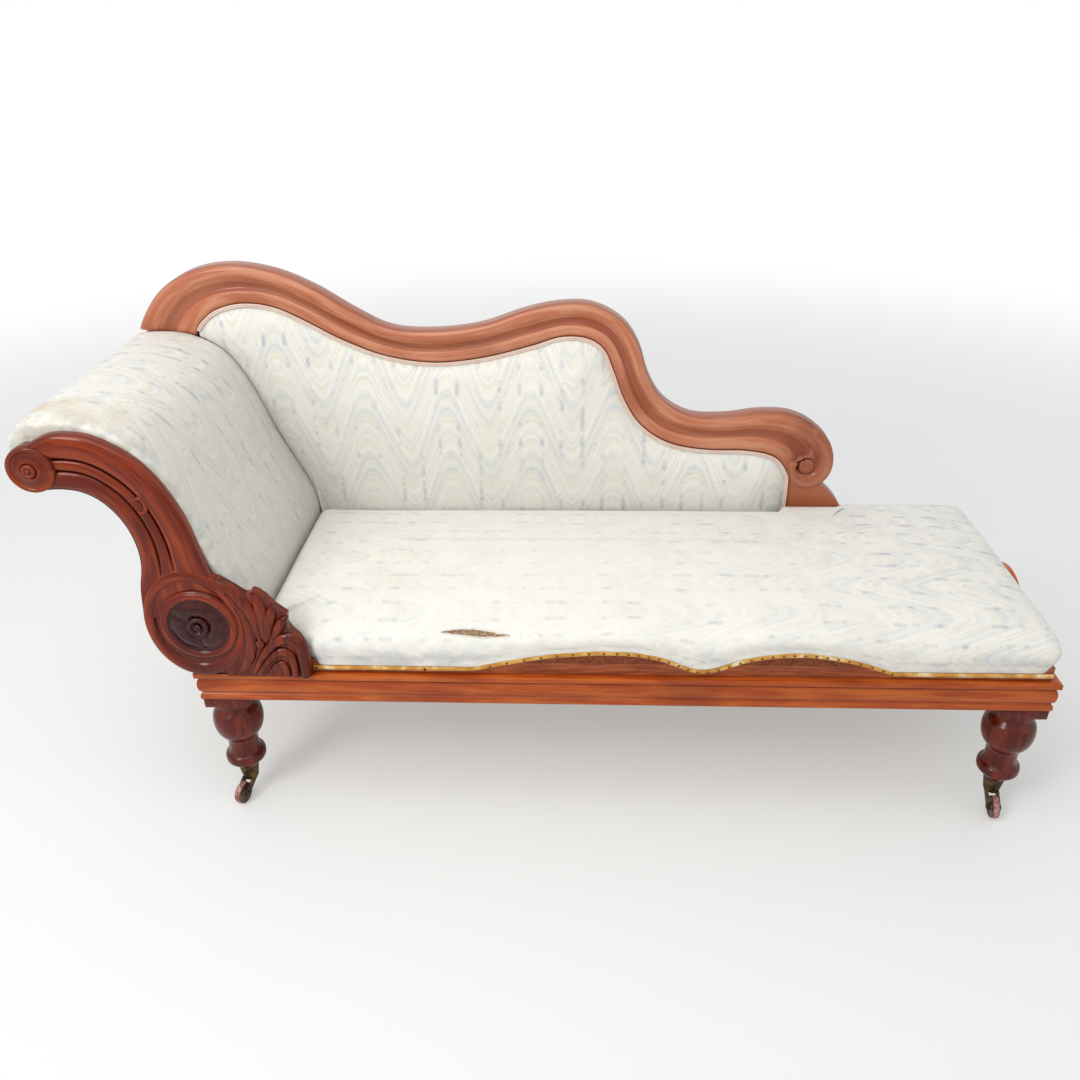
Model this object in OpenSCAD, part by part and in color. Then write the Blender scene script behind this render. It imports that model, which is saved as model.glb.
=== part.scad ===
// Victorian fainting couch: a mahogany seat frame on turned legs and castors, one padded scroll
// arm at the left, a shaped half back and a sprung seat. Lengths are in millimetres, the front
// faces -Y, and the origin is on the floor under the middle of the couch.

/* [Seat frame] */
// Length of the seat frame over its mouldings
frame_l = 1520; // [1490:5:1580]
// Depth of the seat frame from front moulding to back face
frame_d = 535; // [525:1:560]
// Height of the underside of the rails above the floor
rail_z = 257; // [250:1:275]
// Height of the rails
rail_h = 88; // [84:1:92]
// Thickness of the rails
rail_t = 38; // [34:1:42]
// Width of the bars that cross the frame under the springs
bar_w = 50; // [40:2:60]
// Thickness of the bars
bar_t = 22; // [18:1:26]

/* [Rail moulding] */
// Height of the mahogany moulding
mould_h = 62; // [58:1:66]
// Projection of the moulding from the rail
mould_t = 14; // [12:1:16]
// Height of the flat band along its top
band_h = 11; // [9:1:13]
// Height of the bead along its bottom
bead_h = 15; // [13:1:17]
// Height of the grooves beside the torus
quirk_h = 3; // [2:0.5:4]

/* [Legs] */
// Width of the square block on top of a leg
block_w = 80; // [76:1:84]
// Height of the block
block_h = 19; // [16:1:24]
// Setting back of the block from the outer faces of the frame
block_in = 6; // [4:1:8]
// Radius of the collar under the block
collar_r = 39; // [36:1:40]
// Largest radius of the bulb
bulb_r = 46; // [42:1:46]
// Radius of the neck under the bulb
neck_r = 28; // [25:1:31]
// Radius of the ring above the castor cup
ring_r = 37.5; // [35:0.5:40]

/* [Castors] */
// Height of the brass cup
cup_h = 32; // [28:1:36]
// Outer radius of the cup at its rim
cup_r = 20; // [18:1:22]
// Wall of the cup
cup_wall = 1.8; // [1.4:0.2:2.4]
// Diameter of the ceramic wheel
wheel_d = 42; // [38:1:44]
// Width of the wheel
wheel_w = 15; // [13:1:17]
// Distance from the swivel axis to the axle
trail = 32; // [31:1:36]
// Diameter of the axle
axle_d = 6; // [5:0.5:7]
// Diameter of the swivel pintle
pintle_d = 8; // [7:0.5:9]
// Radial clearance of the pintle and of the axle in the wheel
run_gap = 0.06; // [0.03:0.01:0.09]

/* [Scroll arm] */
// Reach of the padded roll past the end of the frame
arm_reach = 228; // [218:1:240]
// Height of the top of the roll above the floor
arm_top = 798; // [785:1:820]
// Radius of the padded roll
roll_r = 58; // [54:1:62]
// Radius of the small scroll on the carved facing
scroll_r = 40; // [37:1:42]
// Thickness of the carved facing
facing_t = 22; // [18:1:26]
// Thickness of the front arm post behind the facing
post_t = 30; // [26:1:34]
// Thickness of the arm's cover and its top stuffing
pad_t = 16; // [14:1:18]
// Thickness of the horsehair under it
hair_t = 18; // [15:1:20]
// Half width of the carved lobe round the large roundel
lobe_rx = 87; // [84:1:90]
// Half height of the lobe
lobe_rz = 110; // [104:1:114]
// Half width of the large roundel
patera_r = 70; // [64:1:73]
// Height of a roundel's button in front of the facing
button_out = 20; // [16:1:24]

/* [Back] */
// Length of the crest rail from its arm end to its foot
back_l = 1447; // [1420:1:1465]
// Height of the top of the crest above the top of the arm
back_rise = 127; // [117:1:137]
// Thickness of the crest rail
crest_t = 42; // [38:1:46]
// Relief of the crest's rolls in front of its cove
crest_relief = 6; // [4:1:8]
// Crown of the padded back
back_crown = 24; // [20:1:28]
// Setting in of the crest from the back face of the frame
back_in = 6; // [4:1:10]
// Width of the gimp along the crest
gimp_w = 8; // [6:1:10]

/* [Seat] */
// Height of the top of the seat above the floor
seat_top = 432; // [424:1:440]
// Height of the fabric's lower edge above the top of the moulding
skirt_z = 4; // [3:1:6]
// Thickness of the fabric skirt on the rails
skirt_t = 3; // [2:0.5:4]
// Width of the ochre tape
tape_w = 9; // [7:1:11]
// Height of the two scallops where the fabric has lifted
scallop_h = 38; // [30:1:42]
// Radius of a seat spring at its ends
spring_r = 40; // [34:1:44]
// Height of the arched board on the foot rail
foot_crest_h = 74; // [64:1:80]
// Width of the arched board
foot_crest_w = 182; // [160:2:200]

/* [Hidden] */

// Gap between pieces that lie against each other
gap = 0.3;
// Overrun of every cut
over = 5;
$fn = 48;

rail_top = rail_z + rail_h;
back_top = arm_top + back_rise;
mould_top = rail_z + mould_h;
in_x = mould_t + rail_t;
mid_x = (frame_l - arm_reach) / 2;
mid_y = (frame_d - button_out) / 2;
foot_x = frame_l - mould_t;

// Woods, metal and cloth
mahogany = [0.50, 0.20, 0.09];
dark_wood = [0.22, 0.08, 0.07];
raw_wood = [0.62, 0.42, 0.24];
brass = [0.48, 0.40, 0.20];
ceramic = [0.45, 0.30, 0.27];
fabric = [0.86, 0.84, 0.76];
hessian = [0.60, 0.47, 0.30];
hair = [0.30, 0.22, 0.16];
ochre = [0.75, 0.55, 0.20];

// Moves a piece from the frame's left front corner to the origin of the couch
module place() {
    translate([-mid_x, -mid_y, 0]) children();
}

// Points on a smooth curve through p, with a number of steps between each two
function bend(a, b, c, d, t) =
    (2 * b + (c - a) * t + (2 * a - 5 * b + 4 * c - d) * t * t + (3 * b - a - 3 * c + d) * t * t * t) / 2;
function smooth(p, steps) = [
    for (i = [0:len(p) - 2], s = [0:steps - 1])
        bend(p[max(i - 1, 0)], p[i], p[i + 1], p[min(i + 2, len(p) - 1)], s / steps),
    p[len(p) - 1]];
function reversed(p) = [for (i = [len(p) - 1:-1:0]) p[i]];
function mix(a, b, share) = a + (b - a) * share;
function mixed(p, q, share) = [for (i = [0:len(p) - 1]) mix(p[i], q[i], share)];
function unit(v) = v / norm(v);
function left_of(v) = [-v[1], v[0]];
function beside(p, d) = [
    for (i = [0:len(p) - 1])
        p[i] + d * left_of(unit(p[min(i + 1, len(p) - 1)] - p[max(i - 1, 0)]))];
function spread(shares, corner, size) = [
    for (s = shares) [corner[0] + s[0] * size[0], corner[1] + s[1] * size[1]]];

// Extrudes an outline drawn in X and Z from the plane y0 to the plane y1
module board(outline, y0, y1) {
    translate([0, y1, 0]) rotate([90, 0, 0]) linear_extrude(y1 - y0) polygon(outline);
}

// A box from its lowest corner to its highest corner
module span(low, high) {
    translate(low) cube(high - low);
}

// A closed skin over rings of points that have equal counts. The rings of a band run out on its
// outside and home on its inside, so its ends close from point to opposite point
module skin(rings, band = false, other_way = false) {
    n = len(rings[0]);
    m = len(rings);
    sides = [
        for (i = [0:m - 2], j = [0:n - 1], k = [0, 1])
            let (a = i * n + j, b = i * n + (j + 1) % n, c = a + n, d = b + n)
                other_way ? (k == 0 ? [a, c, d] : [a, d, b]) : (k == 0 ? [a, c, b] : [b, c, d])];
    ends = band
        ? [for (e = [0, (m - 1) * n], j = [0:n / 2 - 2], k = [0, 1])
            let (a = e + j, b = a + 1, c = e + n - 1 - j, d = c - 1, t = k == 0 ? [a, b, d] : [a, d, c])
                e == 0 ? t : reversed(t)]
        : [[for (j = [0:n - 1]) j], [for (j = [n - 1:-1:0]) (m - 1) * n + j]];
    polyhedron([for (r = rings) each r], concat(sides, ends));
}

// Seat frame: front and back rails run through, head and foot rails are tenoned between them
tenon_t = 14;
tenon_l = 20;
tenon_in = 14;

module tenons(x0, side_gap) {
    for (y = [mould_t + rail_t - tenon_l, frame_d - rail_t - over])
        span([x0 + (rail_t - tenon_t) / 2 - side_gap, y - side_gap, rail_z + tenon_in - side_gap],
            [x0 + (rail_t + tenon_t) / 2 + side_gap, y + tenon_l + over + side_gap,
                rail_top - tenon_in + side_gap]);
}

head_x = mould_t;
end_rail_x = foot_x - rail_t;

module front_rail() color(raw_wood) place() difference() {
    span([mould_t, mould_t, rail_z], [foot_x, mould_t + rail_t, rail_top]);
    tenons(head_x, gap);
    tenons(end_rail_x, gap);
}

module back_rail() color(raw_wood) place() difference() {
    span([mould_t, frame_d - rail_t, rail_z], [foot_x, frame_d, rail_top]);
    tenons(head_x, gap);
    tenons(end_rail_x, gap);
}

module end_rail(x0) place() {
    span([x0, mould_t + rail_t, rail_z], [x0 + rail_t, frame_d - rail_t, rail_top]);
    intersection() {
        tenons(x0, 0);
        span([x0, mould_t + rail_t - tenon_l, rail_z],
            [x0 + rail_t, frame_d - rail_t + tenon_l - gap, rail_top]);
    }
}

module head_rail() color(raw_wood) end_rail(head_x);

module foot_rail() color(raw_wood) end_rail(end_rail_x);

// Triangular blocks glued into the four inner corners
brace_w = 55;
brace_drop = 20;

module corner_blocks() color(raw_wood) place()
    for (x = [0, 1], y = [0, 1])
        translate([x == 0 ? in_x : end_rail_x, y == 0 ? mould_t + rail_t : frame_d - rail_t, rail_z])
            mirror([x, 0, 0]) mirror([0, y, 0])
                linear_extrude(rail_h - brace_drop) polygon([[0, 0], [brace_w, 0], [0, brace_w]]);

// Bars across the frame brace it between the columns of springs
bar_columns = [1.5, 3.5, 5.5];

module spring_bars() color(raw_wood) place()
    for (c = bar_columns)
        span([spring_x(c) - bar_w / 2, mould_t + rail_t, rail_z],
            [spring_x(c) + bar_w / 2, frame_d - rail_t, rail_z + bar_t]);

// Moulding: band, groove, torus, groove and bead from top to bottom, mitred at the front corners
torus_in = 2;
bead_in = 4;
quirk_in = 7;
torus_h = mould_h - band_h - bead_h - 2 * quirk_h;
torus_z = bead_h + quirk_h + torus_h / 2;
torus_r = quirk_in - torus_in;

function moulding_profile() = concat(
    [[mould_t, 0], [mould_t, mould_h], [0, mould_h], [0, mould_h - band_h],
        [quirk_in, mould_h - band_h]],
    [for (a = [90:-15:-90]) [quirk_in - torus_r * cos(a), torus_z + torus_h / 2 * sin(a)]],
    [[quirk_in, bead_h]],
    [for (a = [60:-20:-60]) [quirk_in - (quirk_in - bead_in) * cos(a), bead_h / 2 * (1 + sin(a))]],
    [[quirk_in, 0]]);

module moulding(run, far_mitre) intersection() {
    rotate([90, 0, 90]) linear_extrude(run) polygon(moulding_profile());
    linear_extrude(mould_h)
        polygon([[0, 0], [run, 0], [run - (far_mitre ? mould_t : 0), mould_t], [mould_t, mould_t]]);
}

module front_moulding() color(mahogany) place()
    translate([0, 0, rail_z]) moulding(frame_l, true);

module foot_moulding() color(mahogany) place()
    translate([frame_l, 0, rail_z]) rotate([0, 0, 90]) moulding(frame_d, false);

module head_moulding() color(mahogany) place()
    mirror([1, 0, 0]) translate([0, 0, rail_z]) rotate([0, 0, 90]) moulding(frame_d, false);

// Low arched board on the foot rail, outside the cushion
crest_rise = foot_crest_h;
foot_crest_t = mould_t - gap;
crest_arc_r = (foot_crest_w * foot_crest_w / 4 + crest_rise * crest_rise) / (2 * crest_rise);
foot_mid_y = frame_d / 2;

module foot_arch(grow, longer) {
    translate([frame_l - foot_crest_t - grow, foot_mid_y, mould_top + crest_rise - crest_arc_r])
        rotate([0, 90, 0]) cylinder(h = foot_crest_t + grow + longer, r = crest_arc_r + grow, $fn = 96);
}

module foot_crest() color(mahogany) place() intersection() {
    foot_arch(0, 0);
    span([frame_l - foot_crest_t, foot_mid_y - foot_crest_w, mould_top],
        [frame_l, foot_mid_y + foot_crest_w, mould_top + foot_crest_h]);
}

// Legs: square block, collar, bulb, neck and ring, with a tapered foot inside the cup
leg_x = block_in + block_w / 2;
leg_sites = [[leg_x, leg_x], [frame_l - leg_x, leg_x], [leg_x, frame_d - leg_x],
    [frame_l - leg_x, frame_d - leg_x]];
fork_gap = 0.3;
axle_z = wheel_d / 2;
cup_z = wheel_d;
cup_top = cup_z + cup_h;
cup_floor = 4;
turn_top = rail_z - block_h;
turn_h = turn_top - cup_top;
cup_foot_r = cup_r - 5.5 * cup_r / 20;
collar_h = turn_h * 0.045;
cove_r = collar_r * 0.84;
bulb_z = cup_top + turn_h * 0.616;
bulb_v = turn_h * 0.256;
bulb_b = bulb_r * 0.426;
ring_z = cup_top + turn_h * 0.146;
ring_v = turn_h * 0.05;
ring_b = ring_r * 0.19;

function leg_profile() = concat(
    [[0, turn_top], [collar_r, turn_top], [collar_r, turn_top - collar_h],
        [cove_r + collar_h / 2, turn_top - 1.3 * collar_h], [cove_r, turn_top - 2 * collar_h],
        [cove_r, turn_top - 3 * collar_h]],
    [for (a = [75:-15:-60]) [bulb_r - bulb_b + bulb_b * cos(a), bulb_z + bulb_v * sin(a)]],
    [[neck_r + 1.5 * neck_r / 28, cup_top + turn_h * 0.36], [neck_r, cup_top + turn_h * 0.31],
        [neck_r, cup_top + turn_h * 0.25]],
    [for (a = [70:-20:-70]) [ring_r - ring_b + ring_b * cos(a), ring_z + ring_v * sin(a)]],
    [[mix(cup_r, ring_r, 0.35), cup_top + turn_h * 0.085], [cup_r + cup_wall, cup_top + gap],
        [cup_r - cup_wall - gap, cup_top + gap],
        [cup_foot_r - cup_wall + cup_foot_r * 0.04, cup_z + cup_floor + cup_h * 0.28],
        [0, cup_z + cup_floor + cup_h * 0.28]]);

module leg(site) color(mahogany) place() translate([site[0], site[1], 0]) {
    rotate_extrude($fn = 72) polygon(leg_profile());
    span([-block_w / 2, -block_w / 2, turn_top], [block_w / 2, block_w / 2, rail_z]);
}

module leg_front_left() leg(leg_sites[0]);
module leg_front_right() leg(leg_sites[1]);
module leg_back_left() leg(leg_sites[2]);
module leg_back_right() leg(leg_sites[3]);

// Brass cup, open at the top, with a hole in its floor for the pintle
module cup(site) color(brass) place() translate([site[0], site[1], cup_z]) difference() {
    rotate_extrude() polygon([[0, 0], [cup_foot_r, 0], [cup_foot_r, cup_floor], [cup_r, cup_h],
        [cup_r - cup_wall, cup_h], [cup_foot_r - cup_wall, cup_floor], [0, cup_floor]]);
    translate([0, 0, -over]) cylinder(h = cup_h, r = pintle_d / 2 + run_gap);
}

module cup_front_left() cup(leg_sites[0]);
module cup_front_right() cup(leg_sites[1]);
module cup_back_left() cup(leg_sites[2]);
module cup_back_right() cup(leg_sites[3]);

// Swivelling horn: a pintle riveted over the cup floor, a crown and two arms down to the axle
trail_turns = [-106, -96, -118, -82];
crown_r = 13;
crown_h = 5;
arm_plate_t = 3;
side_gap = 0.8;
boss_r = 7;
rivet_r = 6.5;
rivet_h = 2.5;
arm_gap = wheel_w / 2 + side_gap;

module horn_arm() {
    rotate([90, 0, 0]) linear_extrude(arm_plate_t, center = true) union() {
        translate([trail, axle_z]) circle(r = boss_r);
        polygon([[-crown_r * 0.7, cup_z - fork_gap], [crown_r, cup_z - fork_gap],
            [trail + boss_r * 0.2, axle_z + boss_r * 0.98], [trail - boss_r * 0.7, axle_z - boss_r * 0.71],
            [crown_r * 0.1, cup_z - crown_h * 1.9], [-crown_r * 0.6, cup_z - crown_h]]);
    }
}

module horn(i) color(brass) place() translate([leg_sites[i][0], leg_sites[i][1], 0])
    rotate([0, 0, trail_turns[i]]) difference() {
        union() {
            translate([0, 0, cup_z - crown_h]) cylinder(h = crown_h - fork_gap, r = crown_r);
            translate([0, 0, cup_z - crown_h]) cylinder(h = crown_h + cup_floor + gap, r = pintle_d / 2);
            translate([0, 0, cup_z + cup_floor + gap]) cylinder(h = rivet_h, r = rivet_r);
            for (side = [-1, 1])
                translate([0, side * (arm_gap + arm_plate_t / 2), 0]) horn_arm();
        }
        translate([trail, 0, axle_z]) rotate([90, 0, 0])
            cylinder(h = 4 * arm_gap, r = axle_d / 2 + run_gap / 2, center = true);
    }

module horn_front_left() horn(0);
module horn_front_right() horn(1);
module horn_back_left() horn(2);
module horn_back_right() horn(3);

// Axle riveted at both ends
head_h = 1.2;
axle_l = 2 * (arm_gap + arm_plate_t) + 2 * gap;

module axle(i) color(brass) place() translate([leg_sites[i][0], leg_sites[i][1], 0])
    rotate([0, 0, trail_turns[i]]) translate([trail, 0, axle_z]) rotate([90, 0, 0]) {
        cylinder(h = axle_l, r = axle_d / 2, center = true);
        for (side = [-1, 1])
            translate([0, 0, side * (axle_l + head_h) / 2])
                cylinder(h = head_h, r = axle_d * 0.75, center = true);
    }

module axle_front_left() axle(0);
module axle_front_right() axle(1);
module axle_back_left() axle(2);
module axle_back_right() axle(3);

// Ceramic wheel with rounded rims
rim_round = 3;
wheel_corners = [[0, 1], [1, 0], [0, -1]];

module wheel(i) color(ceramic) place() translate([leg_sites[i][0], leg_sites[i][1], 0])
    rotate([0, 0, trail_turns[i]]) translate([trail, 0, axle_z]) rotate([90, 0, 0]) difference() {
        rotate_extrude($fn = 96) polygon(concat(
            [[0, -wheel_w / 2], [wheel_d / 2 - rim_round, -wheel_w / 2]],
            [for (a = [-60:30:0])
                [wheel_d / 2 - rim_round + rim_round * cos(a), -wheel_w / 2 + rim_round + rim_round * sin(a)]],
            [for (a = [0:30:60])
                [wheel_d / 2 - rim_round + rim_round * cos(a), wheel_w / 2 - rim_round + rim_round * sin(a)]],
            [[wheel_d / 2 - rim_round, wheel_w / 2], [0, wheel_w / 2]]));
        cylinder(h = 2 * wheel_w, r = axle_d / 2 + run_gap, center = true);
    }

module wheel_front_left() wheel(0);
module wheel_front_right() wheel(1);
module wheel_back_left() wheel(2);
module wheel_back_right() wheel(3);

// Scroll arm: the show-wood facing follows two curves, outer and inner, from the small scroll
// down to the lobe that carries the large roundel
facing_y = 16;
facing_front = facing_y - gap - facing_t;
scroll_drop = 18;
scroll_out = 8;
roll_c = [roll_r - arm_reach, arm_top - roll_r];
scroll_c = [roll_c[0] - scroll_out, roll_c[1] - scroll_drop];
facing_w = scroll_r - scroll_c[0];
facing_h = scroll_c[1] + 1.42 * scroll_r - mould_top;
lobe_x = 26;
patera_in = 10;
lobe_c = [lobe_x, mould_top + lobe_rz];
patera_c = lobe_c + [patera_in, 0];
outer_shares = [[-0.817, 0.789], [-0.64, 0.796], [-0.48, 0.783], [-0.345, 0.74], [-0.24, 0.665],
    [-0.19, 0.578], [-0.193, 0.49], [-0.248, 0.387], [-0.28, 0.263]];
inner_shares = [[-0.817, 0.963], [-0.64, 1], [-0.427, 0.998], [-0.27, 0.972], [-0.083, 0.913],
    [0.037, 0.85], [0.124, 0.78], [0.216, 0.67], [0.28, 0.53], [0.33, 0.435], [0.40, 0.3]];
leaf_shares = [[0.3, 0], [0.3, 0.3], [0.33, 0.44], [0.36, 0.428], [0.45, 0.388], [0.52, 0.372],
    [0.6, 0.37], [0.71, 0.337], [0.81, 0.31], [0.88, 0.276], [0.87, 0.235], [0.9, 0.195],
    [0.963, 0.152], [0.985, 0.09], [0.986, 0]];

function facing_line(shares) = spread(shares, [0, mould_top], [facing_w, facing_h]);
function lobe(grow) = [
    for (a = [0:7.5:359]) lobe_c + [(lobe_rx + grow) * cos(a), (lobe_rz + grow) * sin(a)]];

facing_outer = smooth(facing_line(outer_shares), 4);
facing_inner = smooth(facing_line(inner_shares), 4);
groove = 3;
groove_shares = [[0.1, 0.16], [0.38, 0.44], [0.66, 0.72], [0.88, 0.94]];

module facing_shape(y0, y1) intersection() {
    union() {
        difference() {
            board(concat(facing_outer, [lobe_c], reversed(facing_inner)), y0, y1);
            for (g = groove_shares)
                board(concat(mixed(facing_outer, facing_inner, g[0]),
                    reversed(mixed(facing_outer, facing_inner, g[1]))), y0 - over, y0 + groove);
        }
        board(lobe(0), y0, y1);
        translate([scroll_c[0], y1, scroll_c[1]]) rotate([90, 0, 0])
            cylinder(h = y1 - y0, r = scroll_r, $fn = 64);
    }
    difference() {
        span([-arm_reach - over, y0 - over, mould_top], [frame_l, y1 + over, arm_top]);
        span([-2 * arm_reach, mould_t - gap, 0], [frame_l, frame_d, rail_top + gap]);
    }
}

module arm_facing() color(mahogany) place() facing_shape(facing_front, facing_y - gap);

// Acanthus leaf beside the lobe
function leaf_outline() = facing_line(leaf_shares);

module arm_leaf() color(mahogany) place() difference() {
    board(leaf_outline(), facing_front - crest_relief, mould_t - gap);
    board(lobe(gap), facing_front - facing_t, mould_t + facing_t);
}

// Roundels are turned: a ring, a dish and a domed centre with a button
function roundel_profile(r, out) = [[0, 0], [r, 0], [r, out * 0.25], [r * 0.96, out * 0.42],
    [r * 0.9, out * 0.48], [r * 0.84, out * 0.42], [r * 0.8, out * 0.2], [r * 0.62, out * 0.16],
    [r * 0.5, out * 0.3], [r * 0.34, out * 0.62], [r * 0.2, out * 0.7], [r * 0.15, out * 0.5],
    [r * 0.12, out * 0.5], [r * 0.1, out * 0.92], [r * 0.05, out], [0, out]];

module arm_patera() color(dark_wood) place()
    translate([patera_c[0], facing_front, patera_c[1]]) rotate([90, 0, 0])
        rotate_extrude($fn = 64)
            polygon(roundel_profile(patera_r, facing_front + button_out));

module arm_roundel() color(mahogany) place()
    translate([scroll_c[0], facing_front, scroll_c[1]]) rotate([90, 0, 0])
        rotate_extrude($fn = 64)
            polygon(roundel_profile(scroll_r * 0.98, (facing_front + button_out) * 0.8));

// Section of the padded arm: round the roll, over its top and down the inner face to the frame
arm_face_shares = [[-0.52, 1], [-0.307, 0.974], [-0.096, 0.912], [0.044, 0.81], [0.149, 0.69],
    [0.241, 0.558], [0.36, 0.42], [0.482, 0.289], [0.545, 0.188], [0.553, 0.1], [0.545, 0]];
arm_line = concat(
    [for (a = [285:-15:105]) roll_c + roll_r * [cos(a), sin(a)]],
    smooth(concat([[roll_c[0], arm_top]],
        spread(arm_face_shares, [0, rail_top], [arm_reach, arm_top - rail_top])), 3));
arm_foot_x = arm_reach * 0.545;
arm_side_x = max([for (p = arm_line) p[0]]);
function arm_layer(depth) = beside(arm_line, -depth);

module arm_band(near, far, y0, y1) {
    board(concat(arm_layer(near), reversed(arm_layer(far))), y0, y1);
}

back_y = frame_d - back_in - crest_t;
arm_y0 = facing_y;
arm_y1 = back_y - gap;
core = pad_t + hair_t + 2 * gap;
web_t = 2;

// Cover and top stuffing, tight to the wood at the front edge and full in the middle
draw_in = 12;
arm_run_shares = [0, 0.012, 0.035, 0.09, 0.5, 0.92, 1];
arm_draw_shares = [1, 0.5, 0.2, 0, 0, 0, 0.25];

module arm_cover() color(fabric) place()
    skin([for (i = [0:len(arm_run_shares) - 1])
        let (y = mix(arm_y0, arm_y1, arm_run_shares[i]))
            [for (p = concat(arm_layer(draw_in * arm_draw_shares[i]), reversed(arm_layer(pad_t))))
                [p[0], y, max(p[1], rail_top + gap)]]], band = true);

module arm_clip(low) intersection() {
    children();
    span([-2 * arm_reach, 0, low], [frame_l, frame_d, 2 * arm_top]);
}

module arm_stuffing() color(hair) place() arm_clip(rail_top + gap)
    arm_band(pad_t + gap, pad_t + hair_t, arm_y0, arm_y1);

module arm_webbing() color(hessian) place() arm_clip(rail_top + gap)
    arm_band(core, core + web_t, arm_y0, arm_y1);

// Posts are sawn to the scroll, and the cross rails join them
post_shares = [[-0.64, 0.796], [-0.48, 0.783], [-0.345, 0.74], [-0.24, 0.665],
    [-0.19, 0.578], [-0.193, 0.49], [-0.21, 0.4], [-0.2, 0.29], [-0.11, 0.17]];
post_tip_turn = 287;
post_tip = roll_c + (roll_r - facing_t / 5) * [cos(post_tip_turn), sin(post_tip_turn)];
post_outer = smooth(concat([post_tip], facing_line(post_shares), [[mould_t, rail_top + gap]]), 4);

module arm_post(inset, y0, y1) difference() {
    arm_clip(rail_top + gap)
        board(concat(reversed(post_outer), arm_layer(inset)), y0, y1);
    arm_rail_cuts(gap);
}

top_rail_r = 17;
mid_rail_w = 40;
mid_rail_h = 45;
mid_rail_z = mix(rail_top, arm_top, 0.52);
mid_rail_x = arm_reach * 0.075;
low_rail_h = 55;
low_rail_w = 34;
low_rail_x = arm_foot_x - core - web_t - gap;
housing = 10;

module arm_bar(which, grow, y0, y1) {
    if (which == 0) translate([roll_c[0], y1, roll_c[1]]) rotate([90, 0, 0])
        cylinder(h = y1 - y0, r = top_rail_r + grow);
    if (which == 1)
        span([mid_rail_x - mid_rail_w - grow, y0, mid_rail_z - mid_rail_h - grow],
            [mid_rail_x + grow, y1, mid_rail_z + grow]);
    if (which == 2)
        span([low_rail_x - low_rail_w - grow, y0, rail_top + gap - grow],
            [low_rail_x + grow, y1, rail_top + low_rail_h + grow]);
}

module arm_rail_cuts(grow) {
    for (which = [0, 1, 2])
        arm_bar(which, grow, facing_y + post_t - housing, back_y + housing);
}

module arm_front_post() color(raw_wood) place()
    arm_post(core + web_t + gap, facing_y, facing_y + post_t);
module arm_back_post() color(raw_wood) place()
    arm_post(crest_relief, back_y, back_y + crest_t);
module arm_top_rail() color(raw_wood) place()
    arm_bar(0, 0, facing_y + post_t - housing + gap, back_y + housing - gap);
module arm_mid_rail() color(raw_wood) place()
    arm_bar(1, 0, facing_y + post_t - housing + gap, back_y + housing - gap);
module arm_low_rail() color(raw_wood) place()
    arm_bar(2, 0, facing_y + post_t - housing + gap, back_y + housing - gap);

// Cloth on the outside of the arm, between the posts
cloth_t = 2;

module arm_outside() color(fabric) place() arm_clip(rail_top + gap)
    board(concat(post_outer, reversed(beside(post_outer, cloth_t))),
        facing_y + post_t + gap, arm_y1);

// Crest rail: two matched curves, an outer roll, a cove, an inner roll, and a volute at its foot
back_x = -204 / 228 * arm_reach;
crest_box = [back_l, back_top - rail_top];
crest_outer_shares = [[0, 0.729], [0.01, 0.805], [0.042, 0.907], [0.089, 0.976], [0.144, 1],
    [0.203, 0.978], [0.256, 0.922], [0.307, 0.843], [0.355, 0.784], [0.414, 0.772], [0.48, 0.791],
    [0.542, 0.841], [0.59, 0.864], [0.633, 0.859], [0.672, 0.807], [0.696, 0.724],
    [0.712, 0.607], [0.735, 0.519], [0.773, 0.466], [0.822, 0.46], [0.87, 0.476],
    [0.914, 0.469], [0.951, 0.422], [0.976, 0.345]];
crest_inner_shares = [[0.073, 0.729], [0.08, 0.776], [0.098, 0.816], [0.122, 0.855],
    [0.16, 0.872], [0.2, 0.859], [0.238, 0.816], [0.29, 0.745], [0.348, 0.688], [0.414, 0.664],
    [0.483, 0.681], [0.549, 0.722], [0.59, 0.753], [0.625, 0.748], [0.648, 0.71],
    [0.661, 0.638], [0.678, 0.526], [0.702, 0.434], [0.742, 0.367], [0.794, 0.34],
    [0.853, 0.336], [0.891, 0.316], [0.909, 0.276], [0.919, 0.219]];
foot_shares = [[0.919, 0.25], [0.926, 0.12], [0.924, 0], [1.012, 0], [1, 0.13], [0.987, 0.165],
    [0.976, 0.19], [0.96, 0.25]];
volute_shares = [0.945, 0.272];
volute_r = 54;

function crest_line(shares) = spread(shares, [back_x, rail_top + gap], crest_box);
crest_outer = smooth(crest_line(crest_outer_shares), 3);
crest_inner = smooth(crest_line(crest_inner_shares), 3);
volute_c = crest_line([volute_shares])[0];
crest_foot_x = crest_line([foot_shares[3]])[0][0];
roll_share = 0.34;
inner_roll_share = 0.76;
cove_y = back_y + crest_relief;

module crest_ribbon(a_share, b_share, y0, y1) {
    board(concat(mixed(crest_outer, crest_inner, a_share),
        reversed(mixed(crest_outer, crest_inner, b_share))), y0, y1);
}

module crest_rail() color(mahogany) place() difference() {
    union() {
        crest_ribbon(0, 1, cove_y, back_y + crest_t);
        crest_ribbon(0, roll_share, back_y, cove_y + crest_relief);
        crest_ribbon(inner_roll_share, 1, back_y, cove_y + crest_relief);
        translate([volute_c[0], back_y + crest_t, volute_c[1]]) rotate([90, 0, 0])
            cylinder(h = crest_t, r = volute_r, $fn = 72);
        board(crest_line(foot_shares), back_y, back_y + crest_t);
    }
    board(concat(reversed(post_outer), arm_layer(crest_relief - gap)), back_y - over,
        back_y + crest_t + over);
    translate([0, 0, panel_gap / 2]) panel_sheet(back_y - over, back_y + crest_t + over);
}

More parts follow.
